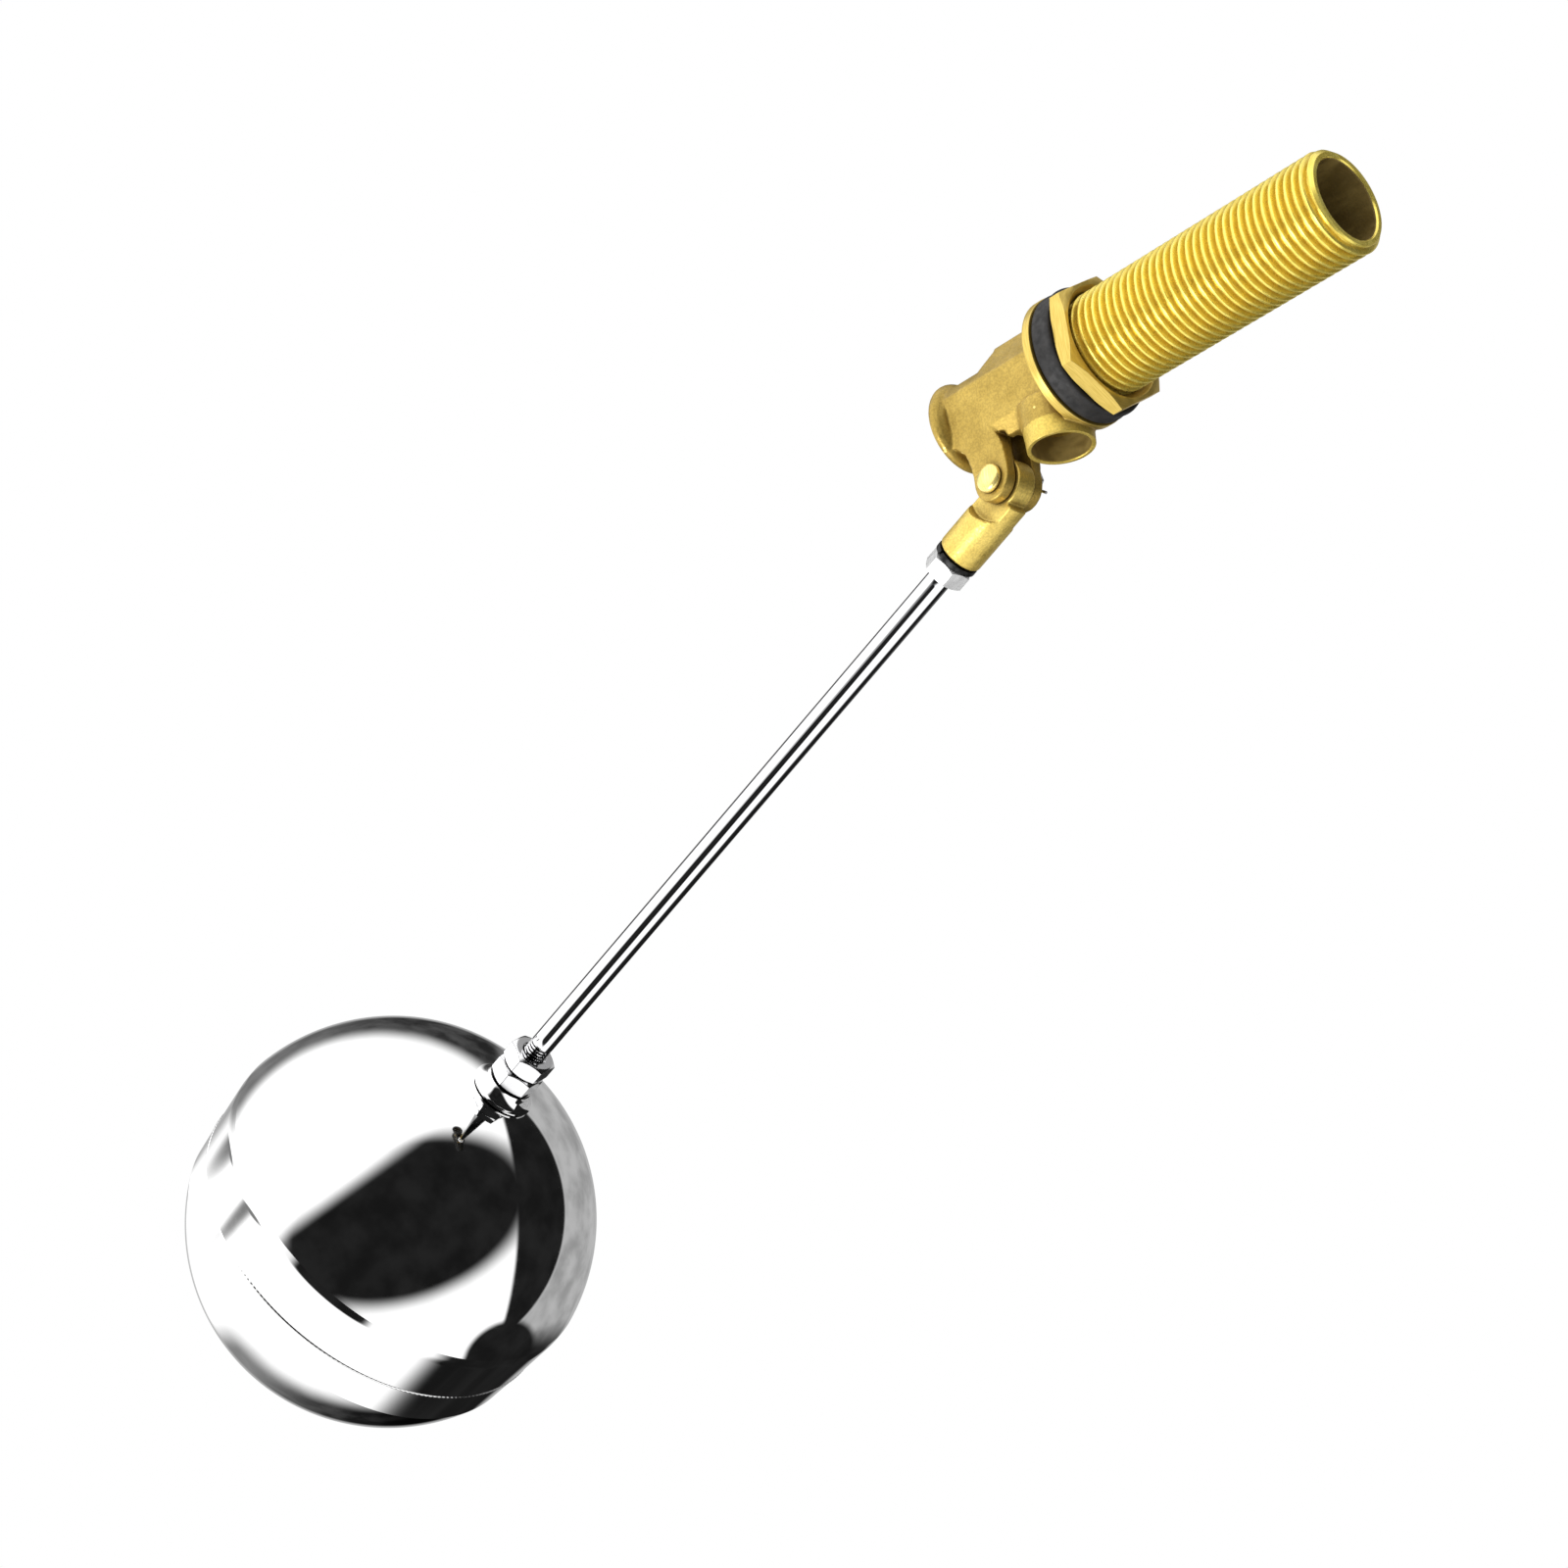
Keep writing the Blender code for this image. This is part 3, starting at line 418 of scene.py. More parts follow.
def painted_outline_mask(tree, radius):
    """Mask for painted dark reflections on sharp edges: 1 on sharp edges, 0 elsewhere, where a rounded edge turns
    away from its own face.
    """
    flat = node(tree, "ShaderNodeNewGeometry", {}).outputs["True Normal"]
    return remap(tree, dot(tree, soft_edges(tree, radius), flat), 0.99, 0.95)


def painted_rim_mask(tree, start):
    """Mask for painted dark reflections at outlines: 1 at the outline of a round piece, 0 where it faces the
    viewer.
    """
    facing = node(tree, "ShaderNodeLayerWeight", {"Blend": 0.5}).outputs["Facing"]
    return remap(tree, facing, start, start + 0.12)


def bright_metal(name, tint, roughness, waviness, edge_radius=0.0, rim=0.0, painted_rim_tone=0.03, groove_shade=0.0):
    """Mirror-bright metal with slow ripples in the surface, faint haze and fine wipe marks.

    Painted dark reflections: sharp edges darken over edge_radius, and outlines past rim. Painted shade: grooves
    narrower than the groove width darken.
    """
    material, tree, shader = new_material(name, metallic=1.0)
    haze = remap(tree, noise(tree, 120.0, 5.0), 0.45, 0.8)
    tone = mixed(tree, haze, tint, tuple(0.93 * part for part in tint[:3]) + (1.0,))
    if edge_radius:
        # Painted dark reflection on sharp edges.
        tone = mixed(tree, painted_outline_mask(tree, edge_radius), tone, grey(0.05))
    if rim:
        # Painted dark reflection round the outline.
        tone = mixed(tree, painted_rim_mask(tree, rim), tone, grey(painted_rim_tone))
    if groove_shade:
        # Painted shade in narrow grooves.
        tone = mixed(tree, remap(tree, painted_shade_mask(tree, groove_shade), 0.12, 0.5), tone, grey(0.02))
    wire(tree, shader.inputs["Base Color"], tone)
    wipe = noise(tree, 900.0, 2.0, (1.0, 0.1, 1.0))
    wire(tree, shader.inputs["Roughness"], remap(tree, wipe, 0.4, 0.7, roughness, roughness * 2.0))
    start = soft_edges(tree, edge_radius) if edge_radius else None
    wire(tree, shader.inputs["Normal"], bumped(tree, noise(tree, 55.0, 2.0), waviness, 1.0, start))
    return material


def satin_nickel():
    """Plated nut, rubbed satin along its axis, with brighter worn edges and painted shade in its corners."""
    material, tree, shader = new_material("satin_nickel", metallic=0.45)
    haze = remap(tree, noise(tree, 240.0, 4.0), 0.35, 0.7)
    tone = mixed(tree, haze, grey(0.80), grey(0.94))
    # Painted shade: corners and recesses darken to grey.
    tone = mixed(tree, painted_shade_mask(tree, 0.6 * MM), tone, grey(0.12))
    wire(tree, shader.inputs["Base Color"], tone)
    rubbed = noise(tree, 900.0, 3.0, (0.3, 1.0, 1.0))
    wire(tree, shader.inputs["Roughness"], remap(tree, rubbed, 0.3, 0.7, 0.26, 0.40))
    wire(tree, shader.inputs["Normal"], bumped(tree, rubbed, 0.02 * MM, 0.4, soft_edges(tree, 0.25 * MM)))
    return material


def drawn_wire():
    material, tree, shader = new_material("drawn_wire", metallic=1.0)
    streaks = noise(tree, 900.0, 3.0, (0.2, 1.0, 1.0))
    wire(tree, shader.inputs["Base Color"], mixed(tree, streaks, grey(0.30), grey(0.62)))
    wire(tree, shader.inputs["Roughness"], remap(tree, streaks, 0.3, 0.7, 0.22, 0.38))
    wire(tree, shader.inputs["Normal"], bumped(tree, streaks, 0.02 * MM, 0.5))
    return material


def blackened_steel():
    material, tree, shader = new_material("blackened_steel", metallic=0.9)
    patches = remap(tree, noise(tree, 700.0, 4.0), 0.35, 0.7)
    wire(tree, shader.inputs["Base Color"], mixed(tree, patches, grey(0.012), grey(0.05)))
    wire(tree, shader.inputs["Roughness"], remap(tree, patches, 0.0, 1.0, 0.34, 0.5))
    grain = bumped(tree, noise(tree, 1500.0), 0.03 * MM, 0.5, soft_edges(tree, 0.15 * MM))
    wire(tree, shader.inputs["Normal"], grain)
    return material


SATIN = bpy.data.collections.new("satin_pieces")
BRASS_SHEEN = 0.65                  # satin brass: part mirror, part scattered light
# Copies of one cast brass: the body's is darker for painted shade, the lever's and nozzle's are lighter for
# painted light.
BODY_CAST_SHADED = cast_brass("cast_brass", (0.40, 0.272, 0.052, 1.0), (0.52, 0.362, 0.078, 1.0))
LEVER_CAST_LIT = cast_brass("lever_brass_lit", (0.66, 0.475, 0.10, 1.0), (0.80, 0.60, 0.15, 1.0))
NOZZLE_BRASS_LIT = cast_brass("nozzle_brass_lit", (0.62, 0.45, 0.085, 1.0), (0.76, 0.57, 0.125, 1.0))
MACHINED = turned_brass("machined_brass", (0.56, 0.395, 0.075, 1.0), (0.72, 0.53, 0.13, 1.0), 0.34, 0.4)
# Lighter copies of the turned brass: smoother finish, and painted light on the pin head and the thread.
PIN_BRASS_LIT = turned_brass("pin_brass_lit", (0.84, 0.66, 0.18, 1.0), (1.0, 0.84, 0.34, 1.0), 0.24, 0.5)
THREAD_BRASS_LIT = turned_brass("thread_brass_lit", (0.90, 0.69, 0.11, 1.0), (1.0, 0.84, 0.19, 1.0), 0.27, 0.66)
BORE = dark_brown_bore()
RUBBER = black_rubber()
CHROME = bright_metal("bright_chrome", (0.93, 0.93, 0.94, 1.0), 0.03, 0.004 * MM, rim=0.58,
                      groove_shade=0.5 * MM)
NUT_CHROME = bright_metal("nut_chrome", (0.90, 0.90, 0.91, 1.0), 0.06, 0.02 * MM,
                          edge_radius=0.3 * MM, groove_shade=0.6 * MM)
STAINLESS = bright_metal("polished_stainless", (0.92, 0.92, 0.92, 1.0), 0.025, 0.02 * MM, rim=0.84,
                         painted_rim_tone=0.4)
SATIN_NICKEL = satin_nickel()
WELD = bright_metal("weld_bead", (0.80, 0.80, 0.80, 1.0), 0.10, 0.02 * MM)
WIRE = drawn_wire()
BLACKENED = blackened_steel()
MIRRORS = (CHROME, NUT_CHROME, STAINLESS, WELD, WIRE)


def finished(obj, body, slot, nodes, *materials):
    """Give a piece its materials and its place in the frame.

    Clearing materials resets which faces use which, so only copies of CAD nodes are cleared.
    """
    if obj.data.materials:
        obj.data.materials.clear()
    for material in materials:
        obj.data.materials.append(material)
    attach(obj, body)
    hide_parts(*nodes)
    if materials[0] not in MIRRORS:
        SATIN.objects.link(obj)
    return obj


# ---------------------------------------------------------------- inlet, flange hardware

def inlet_spigot():
    steps = 180
    end = BODY_HIGH.x - DATUM.x
    levels = np.linspace(end, -0.6 * MM, 680)
    radii = thread_radii(levels, steps, CREST, ROOT, PITCH)
    radii = np.minimum(radii, (SPIGOT_LIP + (end - levels) * 0.9)[:, None])
    inside = rounded([(ORIFICE, -0.6 * MM), (ORIFICE, 3.5 * MM), (ORIFICE + 1.0 * MM, 3.5 * MM),
                      (SPIGOT_BORE, 5.5 * MM), (SPIGOT_BORE, end - 0.5 * MM),
                      (SPIGOT_BORE + 0.35 * MM, end)], 0.2 * MM)
    heights = list(levels) + [point.y for point in inside]
    radii = list(radii) + [point.x for point in inside]
    spigot = rings("inlet_spigot", radii, heights, ON_INLET, steps, closed=True)
    paint_rows(spigot, steps, len(levels), len(heights) - 2, 1)
    return finished(spigot, "valve", "cast_brass", ["valve_body"], THREAD_BRASS_LIT, BORE)


def flange():
    outline = rounded([(CREST - 1.0 * MM, -0.02 * MM), (FLANGE_RADIUS, -0.02 * MM),
                       (FLANGE_RADIUS, -FLANGE_THICKNESS), (CREST - 1.0 * MM, -FLANGE_THICKNESS)],
                      0.18 * MM, closed=True)
    return finished(turned("inlet_flange", outline, ON_INLET, 200, closed=True), "valve", "cast_brass",
                    ["valve_body"], MACHINED)


def mounting_gasket():
    low, high = span("mounting_gasket", INLET, DATUM)
    outer = reach("mounting_gasket", INLET, DATUM)
    inner = CREST + 0.25 * MM
    waist = outer - 0.25 * MM
    middle = (low + high) / 2
    outline = rounded([(inner, high), (outer - 0.3 * MM, high), (outer, high - 0.8 * MM), (waist, middle),
                       (outer, low + 0.8 * MM), (outer - 0.3 * MM, low), (inner, low)], 0.6 * MM, closed=True)
    return finished(turned("rubber_gasket", outline, ON_INLET, 160, closed=True), "valve", "black_rubber",
                    ["mounting_gasket"], RUBBER)


def prism(name, corner, low, high, matrix, turn=0.0):
    """Hexagonal prism round local Z, with one corner turned from local X."""
    work = bmesh.new()
    bmesh.ops.create_cone(work, cap_ends=True, segments=6, radius1=corner, radius2=corner, depth=high - low)
    upright = Matrix.Translation((0.0, 0.0, (low + high) / 2)) @ Matrix.Rotation(turn + pi / 2, 4, "Z")
    bmesh.ops.transform(work, matrix=matrix @ upright, verts=work.verts)
    mesh = bpy.data.meshes.new(name)
    work.to_mesh(mesh)
    work.free()
    return new_object(name, mesh)


def corner_angle(node_name, matrix):
    """Direction of a nut's corner round local Z, read from its CAD node."""
    inverse = matrix.inverted()
    local = [inverse @ vertex.co for vertex in frame["nodes"][node_name].data.vertices]
    corner = max(local, key=lambda point: round(point.xy.length, 6))
    return Vector((1.0, 0.0)).angle_signed(corner.xy) * -1.0


def mounting_nut():
    low, high = span("mounting_nut", INLET, DATUM)
    corner = reach("mounting_nut", INLET, DATUM)
    flat = corner * sqrt(3.0) / 2
    nut = prism("clamping_nut", corner, low, high, ON_INLET, corner_angle("mounting_nut", ON_INLET))
    fall = (corner - flat) * 0.35
    crown = turned("crown", [(0.0, high), (flat + 0.3 * MM, high), (corner, high - fall),
                             (corner, low + fall), (flat + 0.3 * MM, low), (0.0, low)], ON_INLET, 144)
    depth = 1.3 * MM
    bore = turned("bore", [(0.0, high + 1.0 * MM), (CREST + depth + 1.0 * MM, high + 1.0 * MM),
                           (CREST + 0.05 * MM, high - depth), (CREST + 0.05 * MM, low - 1.0 * MM),
                           (0.0, low - 1.0 * MM)], ON_INLET, 144)
    cut_to_shape(nut, [(crown, "INTERSECT"), (bore, "DIFFERENCE")])
    return finished(nut, "clamp_nut", "machined_brass", ["mounting_nut"], MACHINED)


# ---------------------------------------------------------------- body casting, nozzle

def body_casting():
    length = 40.0 * MM
    keep = block("keep", (DATUM.x - length / 2 - GAP, 0.0, DATUM.z), (length, length, 2 * length))
    casting = softened("valve_body", "body_casting", 0.24 * MM, 8, keep)
    return finished(casting, "valve", "cast_brass", ["valve_body"], BODY_CAST_SHADED)


def nozzle():
    """Machined outlet: a thin crisp lip that runs up into the casting."""
    mouth, top = MOUNTS["outlet_mouth"].z - DATUM.z, -9.6 * MM
    flare_end = -13.2 * MM
    outline = rounded([(NOZZLE_BORE, top), (NOZZLE_RADIUS - 0.25 * MM, top),
                       (NOZZLE_RADIUS + 0.28 * MM, top - 1.4 * MM), (NOZZLE_RADIUS + 0.1 * MM, flare_end),
                       (NOZZLE_RADIUS, mouth), (NOZZLE_BORE + 0.12 * MM, mouth),
                       (NOZZLE_BORE, mouth + 0.3 * MM)], 0.12 * MM, closed=True)
    steps = 144
    sleeve = turned("outlet_nozzle", outline, ON_NOZZLE, steps, closed=True)
    paint_rows(sleeve, steps, len(outline) - 4, len(outline), 1)
    return finished(sleeve, "valve", "cast_brass", ["valve_body"], NOZZLE_BRASS_LIT, BORE)


# ---------------------------------------------------------------- lever and pin

def lever():
    casting = softened("lever_arm", "lever_casting", 0.18 * MM, 10)
    return finished(casting, "float_arm", "cast_brass", ["lever_arm"], LEVER_CAST_LIT)


def pivot_pin():
    low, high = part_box("pivot_pin")
    radius = (high.x - low.x) / 2
    shank = 1.75 * MM
    under_head = low.y + 1.5 * MM
    rim = under_head - 0.4 * MM
    dome = [(radius * sin(a), rim - (rim - low.y) * cos(a)) for a in np.linspace(pi / 2, 0.0, 12)]
    outline = rounded([(0.0, high.y), (shank - 0.4 * MM, high.y), (shank, high.y - 0.4 * MM),
                       (shank, under_head), (radius, under_head)], 0.1 * MM) + dome
    pin = turned("pin_body", outline, ON_PIN, 72)
    return finished(pin, "valve", "machined_brass", ["pivot_pin"], PIN_BRASS_LIT)


def split_pin():
    pin = softened("cotter_pin", "split_pin", 0.09 * MM, 4)
    return finished(pin, "valve", "stainless_wire", ["cotter_pin"], WIRE)


# ---------------------------------------------------------------- rod and its nuts

def float_rod():
    """Plain bright rod with a rolled M5 thread at each end."""
    start, end = span("float_rod")
    steps = 72
    boss_start, _ = span("float_lock_nut")
    _, lever_nut_end = span("arm_lock_nut")
    upper = boss_start - 3.4 * MM
    lower = lever_nut_end - 0.6 * MM
    fine = ROD_PITCH / 12
    heights = np.concatenate([np.arange(end, upper, -fine), np.linspace(upper, lower, 60),
                              np.arange(lower - fine, start, -fine)])
    radii = thread_radii(heights, steps, ROD_CREST, ROD_ROOT, ROD_PITCH)
    run_out = np.clip(np.maximum(heights - upper, lower - heights) / (1.5 * ROD_PITCH), 0.0, 1.0)
    radii = ROD_CREST + (radii - ROD_CREST) * run_out[:, None]
    ends = np.minimum(end - heights, heights - start)
    radii = np.minimum(radii, (ROD_ROOT + ends)[:, None])
    closed_radii = [0.0] + list(radii) + [0.0]
    closed_heights = [end] + list(heights) + [heights[-1]]
    rod = rings("rod", closed_radii, closed_heights, ON_ARM, steps)
    return finished(rod, "float_arm", "bright_chrome", ["float_rod"], CHROME)


def hex_nut(node_name, name, metal):
    """Chamfered nut with a countersunk threaded hole."""
    low, high = span(node_name)
    corner = reach(node_name)
    flat = corner * sqrt(3.0) / 2
    nut = prism(name, corner, low, high, ON_ARM, corner_angle(node_name, ON_ARM))
    fall = (corner - flat + 0.25 * MM) * tan(radians(30.0))
    crown = turned("crown", [(0.0, high), (flat - 0.25 * MM, high), (corner, high - fall),
                             (corner, low + fall), (flat - 0.25 * MM, low), (0.0, low)], ON_ARM, 96)
    mouth = ROD_CREST + 0.45 * MM
    bore = turned("bore", [(0.0, high + 0.5 * MM), (mouth + 0.5 * MM, high + 0.5 * MM),
                           (ROD_CREST + 0.03 * MM, high - 0.45 * MM),
                           (ROD_CREST + 0.03 * MM, low + 0.45 * MM),
                           (mouth + 0.5 * MM, low - 0.5 * MM), (0.0, low - 0.5 * MM)], ON_ARM, 72)
    cut_to_shape(nut, [(crown, "INTERSECT"), (bore, "DIFFERENCE")])
    return finished(nut, "float_arm", "bright_chrome", [node_name], metal)


def spring_washer():
    """Split ring of square wire, its ends a hair apart."""
    low, high = span("arm_lock_washer")
    outer = reach("arm_lock_washer")
    inner = ROD_CREST + 0.3 * MM
    section = rounded([(inner, high), (outer, high), (outer, low), (inner, low)], 0.12 * MM, closed=True)
    ring = turned("lock_ring", section, ON_ARM, 120, closed=True)
    beside = Matrix.Translation((-outer, 0.0, (low + high) / 2))
    slant = ON_ARM @ beside @ Matrix.Rotation(radians(20.0), 4, "X")
    size = (2 * (outer - inner) + 2.0 * MM, 0.6 * MM, 3 * (high - low))
    split = block("split", (0.0, 0.0, 0.0), size, slant)
    cut_to_shape(ring, [(split, "DIFFERENCE")])
    return finished(ring, "float_arm", "blackened_steel", ["arm_lock_washer"], BLACKENED)


# ---------------------------------------------------------------- ball float

def ball_point(past_equator, radius=BALL_RADIUS):
    """Point of the round ball at an angle past its equator, as seen from the pivot."""
    return Vector((radius * cos(past_equator), BALL_REACH + radius * sin(past_equator)))


def ball_arc(first, last):
    count = int(abs(last - first) / radians(1.25)) + 1
    return [ball_point(angle) for angle in np.linspace(first, last, count)]


def band_outline():
    """The pressed band before the seam: it starts at a crease, then bends to a shallow cone."""
    start = ball_point(BAND_START)
    widest = start + Vector((tan(BAND_LEAN), 1.0)) * BAND_TURN
    return rounded([start, widest, Vector((WELD_RADIUS, SEAM_REACH))], 2 * BAND_TURN, count=8)


def pressed_shell(node_name, name, outer):
    """Pressed shell, its outer profile thickened inwards."""
    centre = Vector((0.0, BALL_REACH))
    thinner = 1.0 - SHELL_THICKNESS / BALL_RADIUS
    inner = [centre + (point - centre) * thinner for point in outer]
    shell = turned(name, outer + inner[::-1], ON_ARM, 240, closed=True)
    shade(shell, radians(2.5))
    return finished(shell, "float_arm", "polished_stainless", [node_name], STAINLESS)


def ball_float():
    gap = Vector((0.0, 0.2 * MM))
    band = band_outline()
    upper = ball_arc(HOLE_ANGLE - pi / 2, BAND_START)[:-1] + band[:-1] + [band[-1] - gap]
    lower = [band[-1] + gap] + ball_arc(BAND_END, pi / 2 - 0.0005)
    pressed_shell("float_upper_shell", "upper_shell", upper)
    pressed_shell("float_lower_shell", "lower_shell", lower)


def weld_bead():
    """Low, faintly rippled bead round the seam."""
    steps = RIPPLES * 6
    ripple = 0.02 * MM * np.cos(np.arange(steps) * 2 * pi / 6)
    half = 0.4 * MM
    angles = np.linspace(0.0, pi, 9)
    radii = [WELD_RADIUS - 0.25 * MM + sin(angle) * (half + ripple) for angle in angles]
    heights = [SEAM_REACH + half * cos(angle) for angle in angles]
    bead = rings("weld_seam", radii, heights, ON_ARM, steps, closed=True)
    return finished(bead, "float_arm", "polished_stainless", ["seam_weld"], WELD)


def collar():
    """Flared foot that the boss nut stands on, with a small rolled lip on the ball."""
    low, high = span("boss_collar")
    foot = reach("boss_collar")
    neck = foot - 2.0 * MM
    inner = ROD_CREST + 0.3 * MM
    flare = [(foot - (foot - neck) * sin(a), high - 0.55 * MM - (high - 0.55 * MM - low) * (1 - cos(a)))
             for a in np.linspace(0.0, pi / 2, 8)]
    outline = [(inner, high), (foot - 0.2 * MM, high), (foot, high - 0.25 * MM)] + flare + [(inner, low)]
    return finished(turned("ball_collar", outline[::-1], ON_ARM, 120, closed=True), "float_arm",
                    "polished_stainless", ["boss_collar"], STAINLESS)


# ---------------------------------------------------------------- studio

CAMERA_PLACE = DATUM + Vector((0.38236, -0.47402, -0.33976))
CAMERA_AZIMUTH = radians(45.03)
CAMERA_ELEVATION = radians(-23.24)
CAMERA_ROLL = radians(-6.78)
CAMERA_LENS = 83.35
FLOOR_LEVEL = -0.37
KEY_LIGHT = Vector((-0.30, -0.70, -0.62)).normalized()    # toward the soft lamp for the satin pieces
KEY_POWER = 1.9
FADE_START = cos(radians(158.0))    # rays this far round from the camera begin to see a plain tone,
FADE_END = cos(radians(170.0))      # so that the painted shapes do not meet in a point behind the ball
OPENING_EDGE = radians(35.9)        # slant of the straight upper edge of the dark opening


def camera_axes():
    """The camera's right, up and backward directions."""
    aside = cos(CAMERA_ELEVATION)
    back = Vector((sin(CAMERA_AZIMUTH) * aside, -cos(CAMERA_AZIMUTH) * aside, sin(CAMERA_ELEVATION)))
    level = Vector((cos(CAMERA_AZIMUTH), sin(CAMERA_AZIMUTH), 0.0))
    above = back.cross(level)
    right = level * cos(CAMERA_ROLL) + above * sin(CAMERA_ROLL)
    return right, back.cross(right), back


def add_camera():
    data = bpy.data.cameras.new("camera")
    data.lens = CAMERA_LENS
    data.sensor_width = 36.0
    data.clip_start = 0.01
    camera = bpy.data.objects.new("camera", data)
    camera.matrix_world = Matrix.Translation(CAMERA_PLACE) @ Matrix(camera_axes()).transposed().to_4x4()
    bpy.context.scene.collection.objects.link(camera)
    bpy.context.scene.camera = camera


def weighted(tree, first, first_weight, second, second_weight):
    """Sum of two values, each times its weight."""
    return maths(tree, "ADD", maths(tree, "MULTIPLY", first, first_weight),
                 maths(tree, "MULTIPLY", second, second_weight))


def oval(tree, across, upward, centre, size, turn=0.0, soft=0.08):
    """1 inside an oval in mirror-ball coordinates, falling to 0 over a soft edge."""
    c, s = cos(radians(turn)), sin(radians(turn))
    dx, dy = maths(tree, "SUBTRACT", across, centre[0]), maths(tree, "SUBTRACT", upward, centre[1])
    u = weighted(tree, dx, c / size[0], dy, s / size[0])
    v = weighted(tree, dy, c / size[1], dx, -s / size[1])
    square = maths(tree, "ADD", maths(tree, "MULTIPLY", u, u), maths(tree, "MULTIPLY", v, v))
    return remap(tree, maths(tree, "SQRT", square), 1.0 - soft, 1.0 + soft, 1.0, 0.0)


def without(tree, first, second):
    return maths(tree, "MULTIPLY", first, maths(tree, "SUBTRACT", 1.0, second))


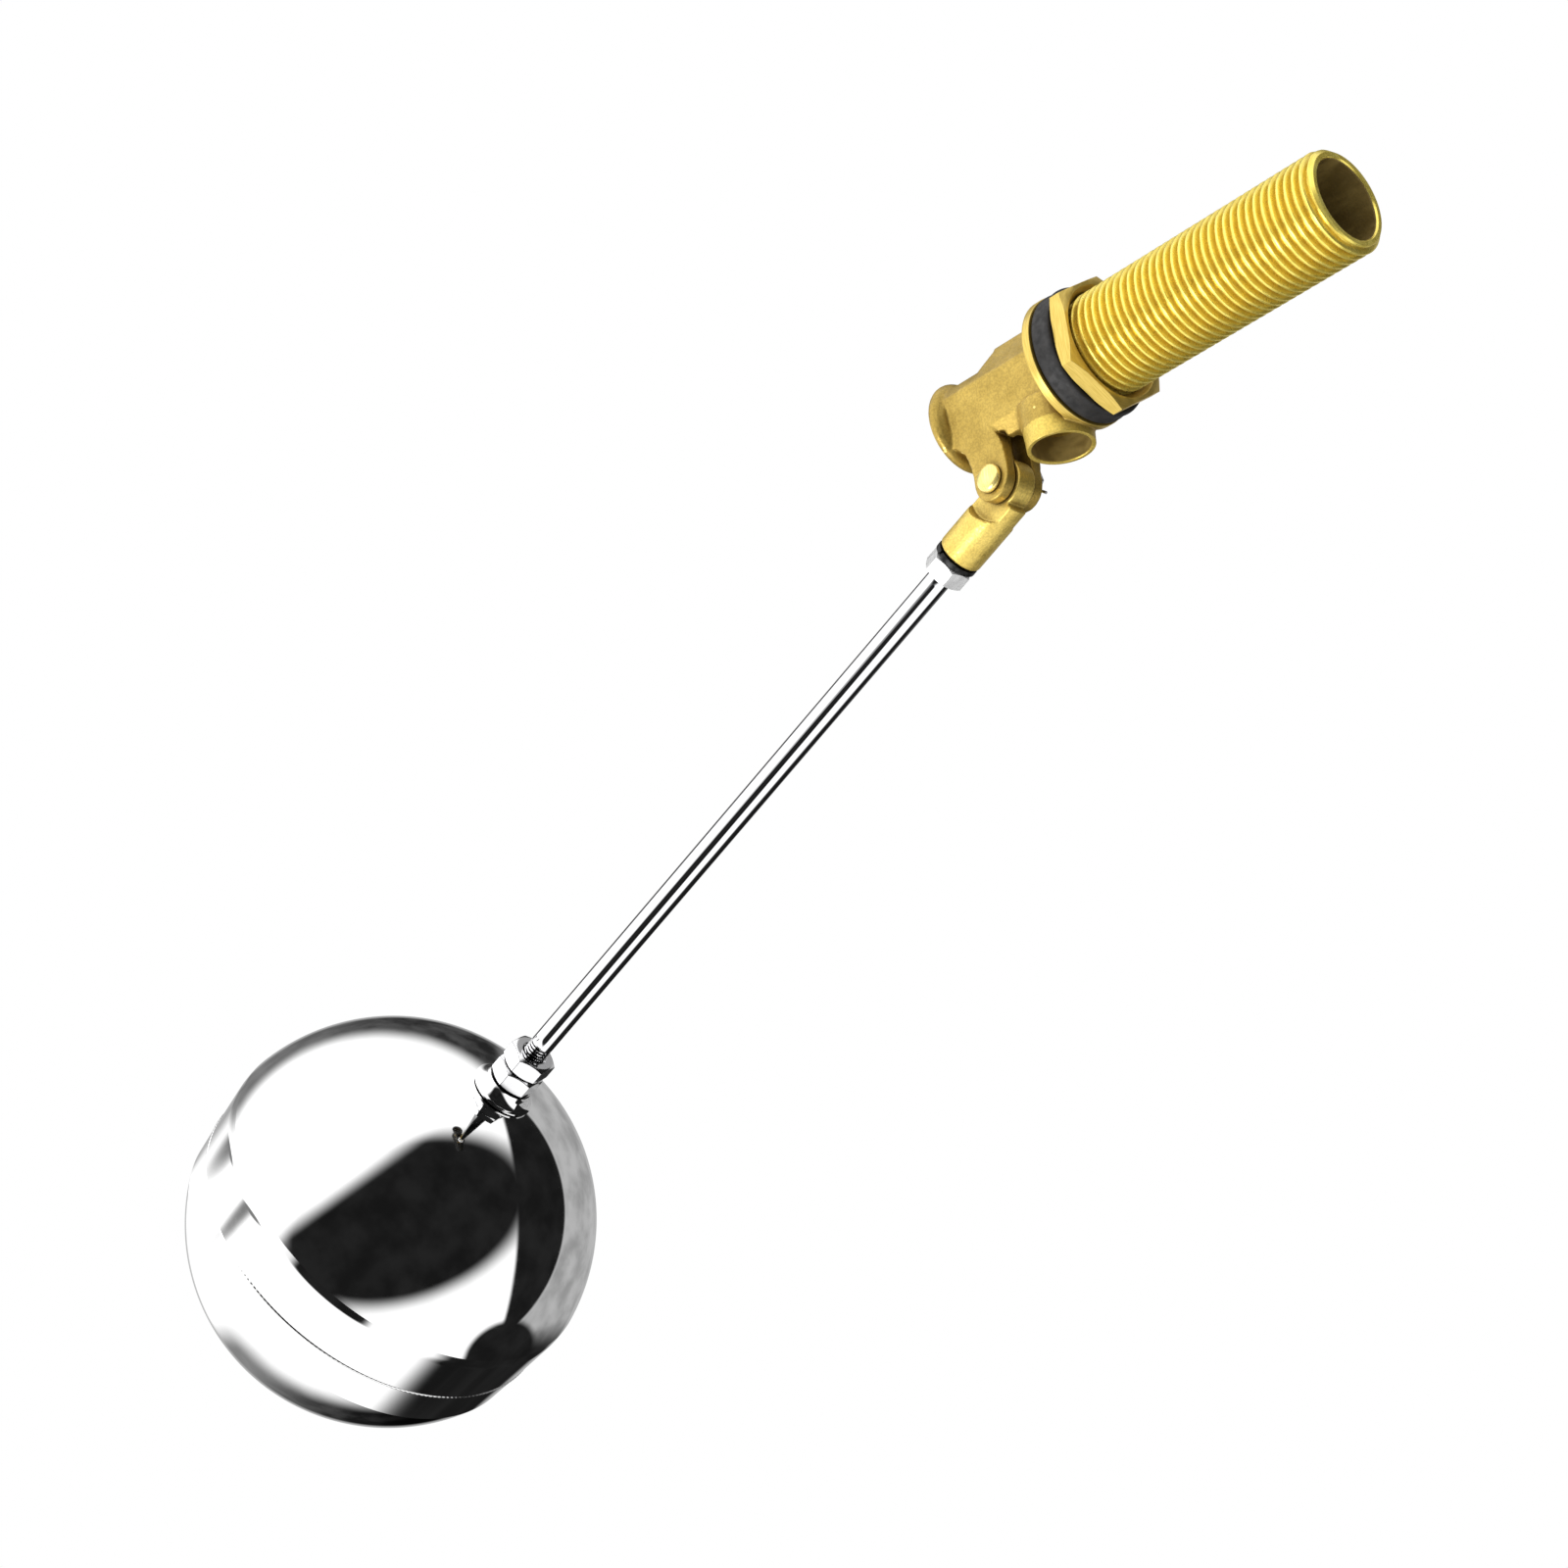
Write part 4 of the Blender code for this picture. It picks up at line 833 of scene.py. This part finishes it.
def studio_surroundings():
    """White tent seen in a mirror ball at the float: camera side in the middle, far side at the rim.

    A dark opening faces the ball, a dark flag stands to its right with a grey wall behind,
    and dark edges close the tent above and below. Scattered light comes from the near left.
    """
    world = bpy.data.worlds.new("studio")
    world.use_nodes = True
    bpy.context.scene.world = world
    tree = world.node_tree
    toward = (CAMERA_PLACE - BALL).normalized()
    right = camera_axes()[0]
    right = (right - toward * right.dot(toward)).normalized()
    up = toward.cross(right)
    ray = node(tree, "ShaderNodeTexCoord", {}).outputs["Generated"]
    half = node(tree, "ShaderNodeVectorMath", {0: ray, 1: toward}, operation="ADD").outputs[0]
    half = node(tree, "ShaderNodeVectorMath", {0: half}, operation="NORMALIZE").outputs[0]
    x, y = dot(tree, half, right), dot(tree, half, up)

    across_edge = weighted(tree, x, -sin(OPENING_EDGE), y, cos(OPENING_EDGE))
    opening = maths(tree, "MULTIPLY", oval(tree, x, y, (0.066, 0.003), (0.633, 0.381), 19.6, 0.13),
                    remap(tree, across_edge, 0.20, 0.33, 1.0, 0.0))
    streak = oval(tree, x, y, (-0.345, -0.412), (0.235, 0.062), -40.0, 0.15)
    beside = oval(tree, x, y, (0.115, 0.03), (0.72, 0.72), 0.0, 0.012)
    flag = without(tree, beside, oval(tree, x, y, (-1.2, -0.02), (1.8, 1.8), 0.0, 0.006))
    flag_foot = oval(tree, x, y, (0.52, -0.63), (0.19, 0.13), 35.0, 0.12)
    grey_wall = without(tree, maths(tree, "MULTIPLY", remap(tree, x, 0.42, 0.56),
                                    remap(tree, y, -0.74, -0.64)), beside)
    roof = without(tree, maths(tree, "MULTIPLY", remap(tree, y, 0.24, 0.5), remap(tree, x, 0.62, 0.48)),
                   oval(tree, x, y, (-0.06, 0.2), (0.75, 0.695), 0.0, 0.06))
    sill = without(tree, remap(tree, y, -0.45, -0.62),
                   oval(tree, x, y, (-0.02, -0.1), (0.86, 0.78), 0.0, 0.06))
    lens = oval(tree, x, y, (0.38, -0.77), (0.32, 0.10), 10.0, 0.3)
    smudges = maths(tree, "MAXIMUM", oval(tree, x, y, (-0.765, -0.065), (0.075, 0.026), -40.0, 0.4),
                    oval(tree, x, y, (-0.876, 0.235), (0.08, 0.022), -80.0, 0.4))

    mottle = node(tree, "ShaderNodeTexNoise", {"Vector": half, "Scale": 7.0, "Detail": 5.0}).outputs[0]
    wall_level = remap(tree, mottle, 0.3, 0.7, 0.32, 0.50)
    roof_level = maths(tree, "ADD", remap(tree, x, -0.90, 0.15, 0.20, 0.02),
                       remap(tree, mottle, 0.35, 0.7, 0.0, 0.06))
    sill_level = maths(tree, "ADD", remap(tree, y, -0.68, -0.93, 0.24, 0.02),
                       remap(tree, mottle, 0.4, 0.7, 0.0, 0.05))
    sill_level = maths(tree, "MULTIPLY", remap(tree, x, -0.45, 0.10, 1.0, 0.08), sill_level)
    smoke = remap(tree, mottle, 0.3, 0.75, 0.009, 0.018)

    light = mixed(tree, oval(tree, x, y, (-0.45, 0.35), (0.5, 0.45), 0.0, 0.6), grey(1.25), grey(1.9))
    for shape, level in ((grey_wall, wall_level), (roof, roof_level), (sill, sill_level), (lens, smoke),
                         (smudges, grey(0.22)), (opening, smoke), (flag, smoke), (flag_foot, smoke),
                         (streak, smoke)):
        light = mixed(tree, shape, light, level)

    behind = remap(tree, dot(tree, ray, toward), FADE_START, FADE_END)
    light = mixed(tree, behind, light, grey(0.55))

    paths = node(tree, "ShaderNodeLightPath", {}).outputs
    ambient = remap(tree, dot(tree, ray, KEY_LIGHT), -0.9, 1.0, 0.15, 1.0)
    light = mixed(tree, paths["Is Diffuse Ray"], light, ambient)
    background = tree.nodes["Background"]
    wire(tree, background.inputs["Color"], mixed(tree, paths["Is Camera Ray"], light, grey(1.0)))


def satin_lamp():
    """Soft sun that lights the satin pieces only, so that the mirrors do not show it."""
    data = bpy.data.lights.new("satin_lamp", "SUN")
    data.energy = KEY_POWER
    data.angle = radians(30.0)
    lamp = bpy.data.objects.new("satin_lamp", data)
    lamp.rotation_euler = KEY_LIGHT.to_track_quat("Z", "Y").to_euler()
    bpy.context.scene.collection.objects.link(lamp)
    lamp.light_linking.receiver_collection = SATIN


def floor():
    mesh = bpy.data.meshes.new("floor")
    work = bmesh.new()
    bmesh.ops.create_grid(work, x_segments=1, y_segments=1, size=60.0)
    work.to_mesh(mesh)
    work.free()
    ground = new_object("floor", mesh)
    ground.location.z = FLOOR_LEVEL
    material, tree, shader = new_material("floor_paper", roughness=0.9)
    wire(tree, shader.inputs["Base Color"], mixed(tree, noise(tree, 3.0), grey(0.84), grey(0.88)))
    mesh.materials.append(material)
    for kind in ("visible_diffuse", "visible_glossy", "visible_transmission", "visible_shadow"):
        setattr(ground, kind, False)


def build():
    for make in (inlet_spigot, flange, mounting_gasket, mounting_nut, body_casting, nozzle, lever, pivot_pin,
                 split_pin, float_rod, spring_washer, weld_bead, collar):
        make()
    hex_nut("arm_lock_nut", "lever_nut", SATIN_NICKEL)
    hex_nut("float_lock_nut", "ball_lock_nut", NUT_CHROME)
    hex_nut("float_boss_nut", "ball_boss_nut", NUT_CHROME)
    ball_float()
    for name, material in (("piston", MACHINED), ("seat_washer", RUBBER)):
        frame["nodes"][name].data.materials.clear()
        frame["nodes"][name].data.materials.append(material)


build()
studio_surroundings()
satin_lamp()
floor()
add_camera()
bpy.context.scene.view_settings.view_transform = "Standard"
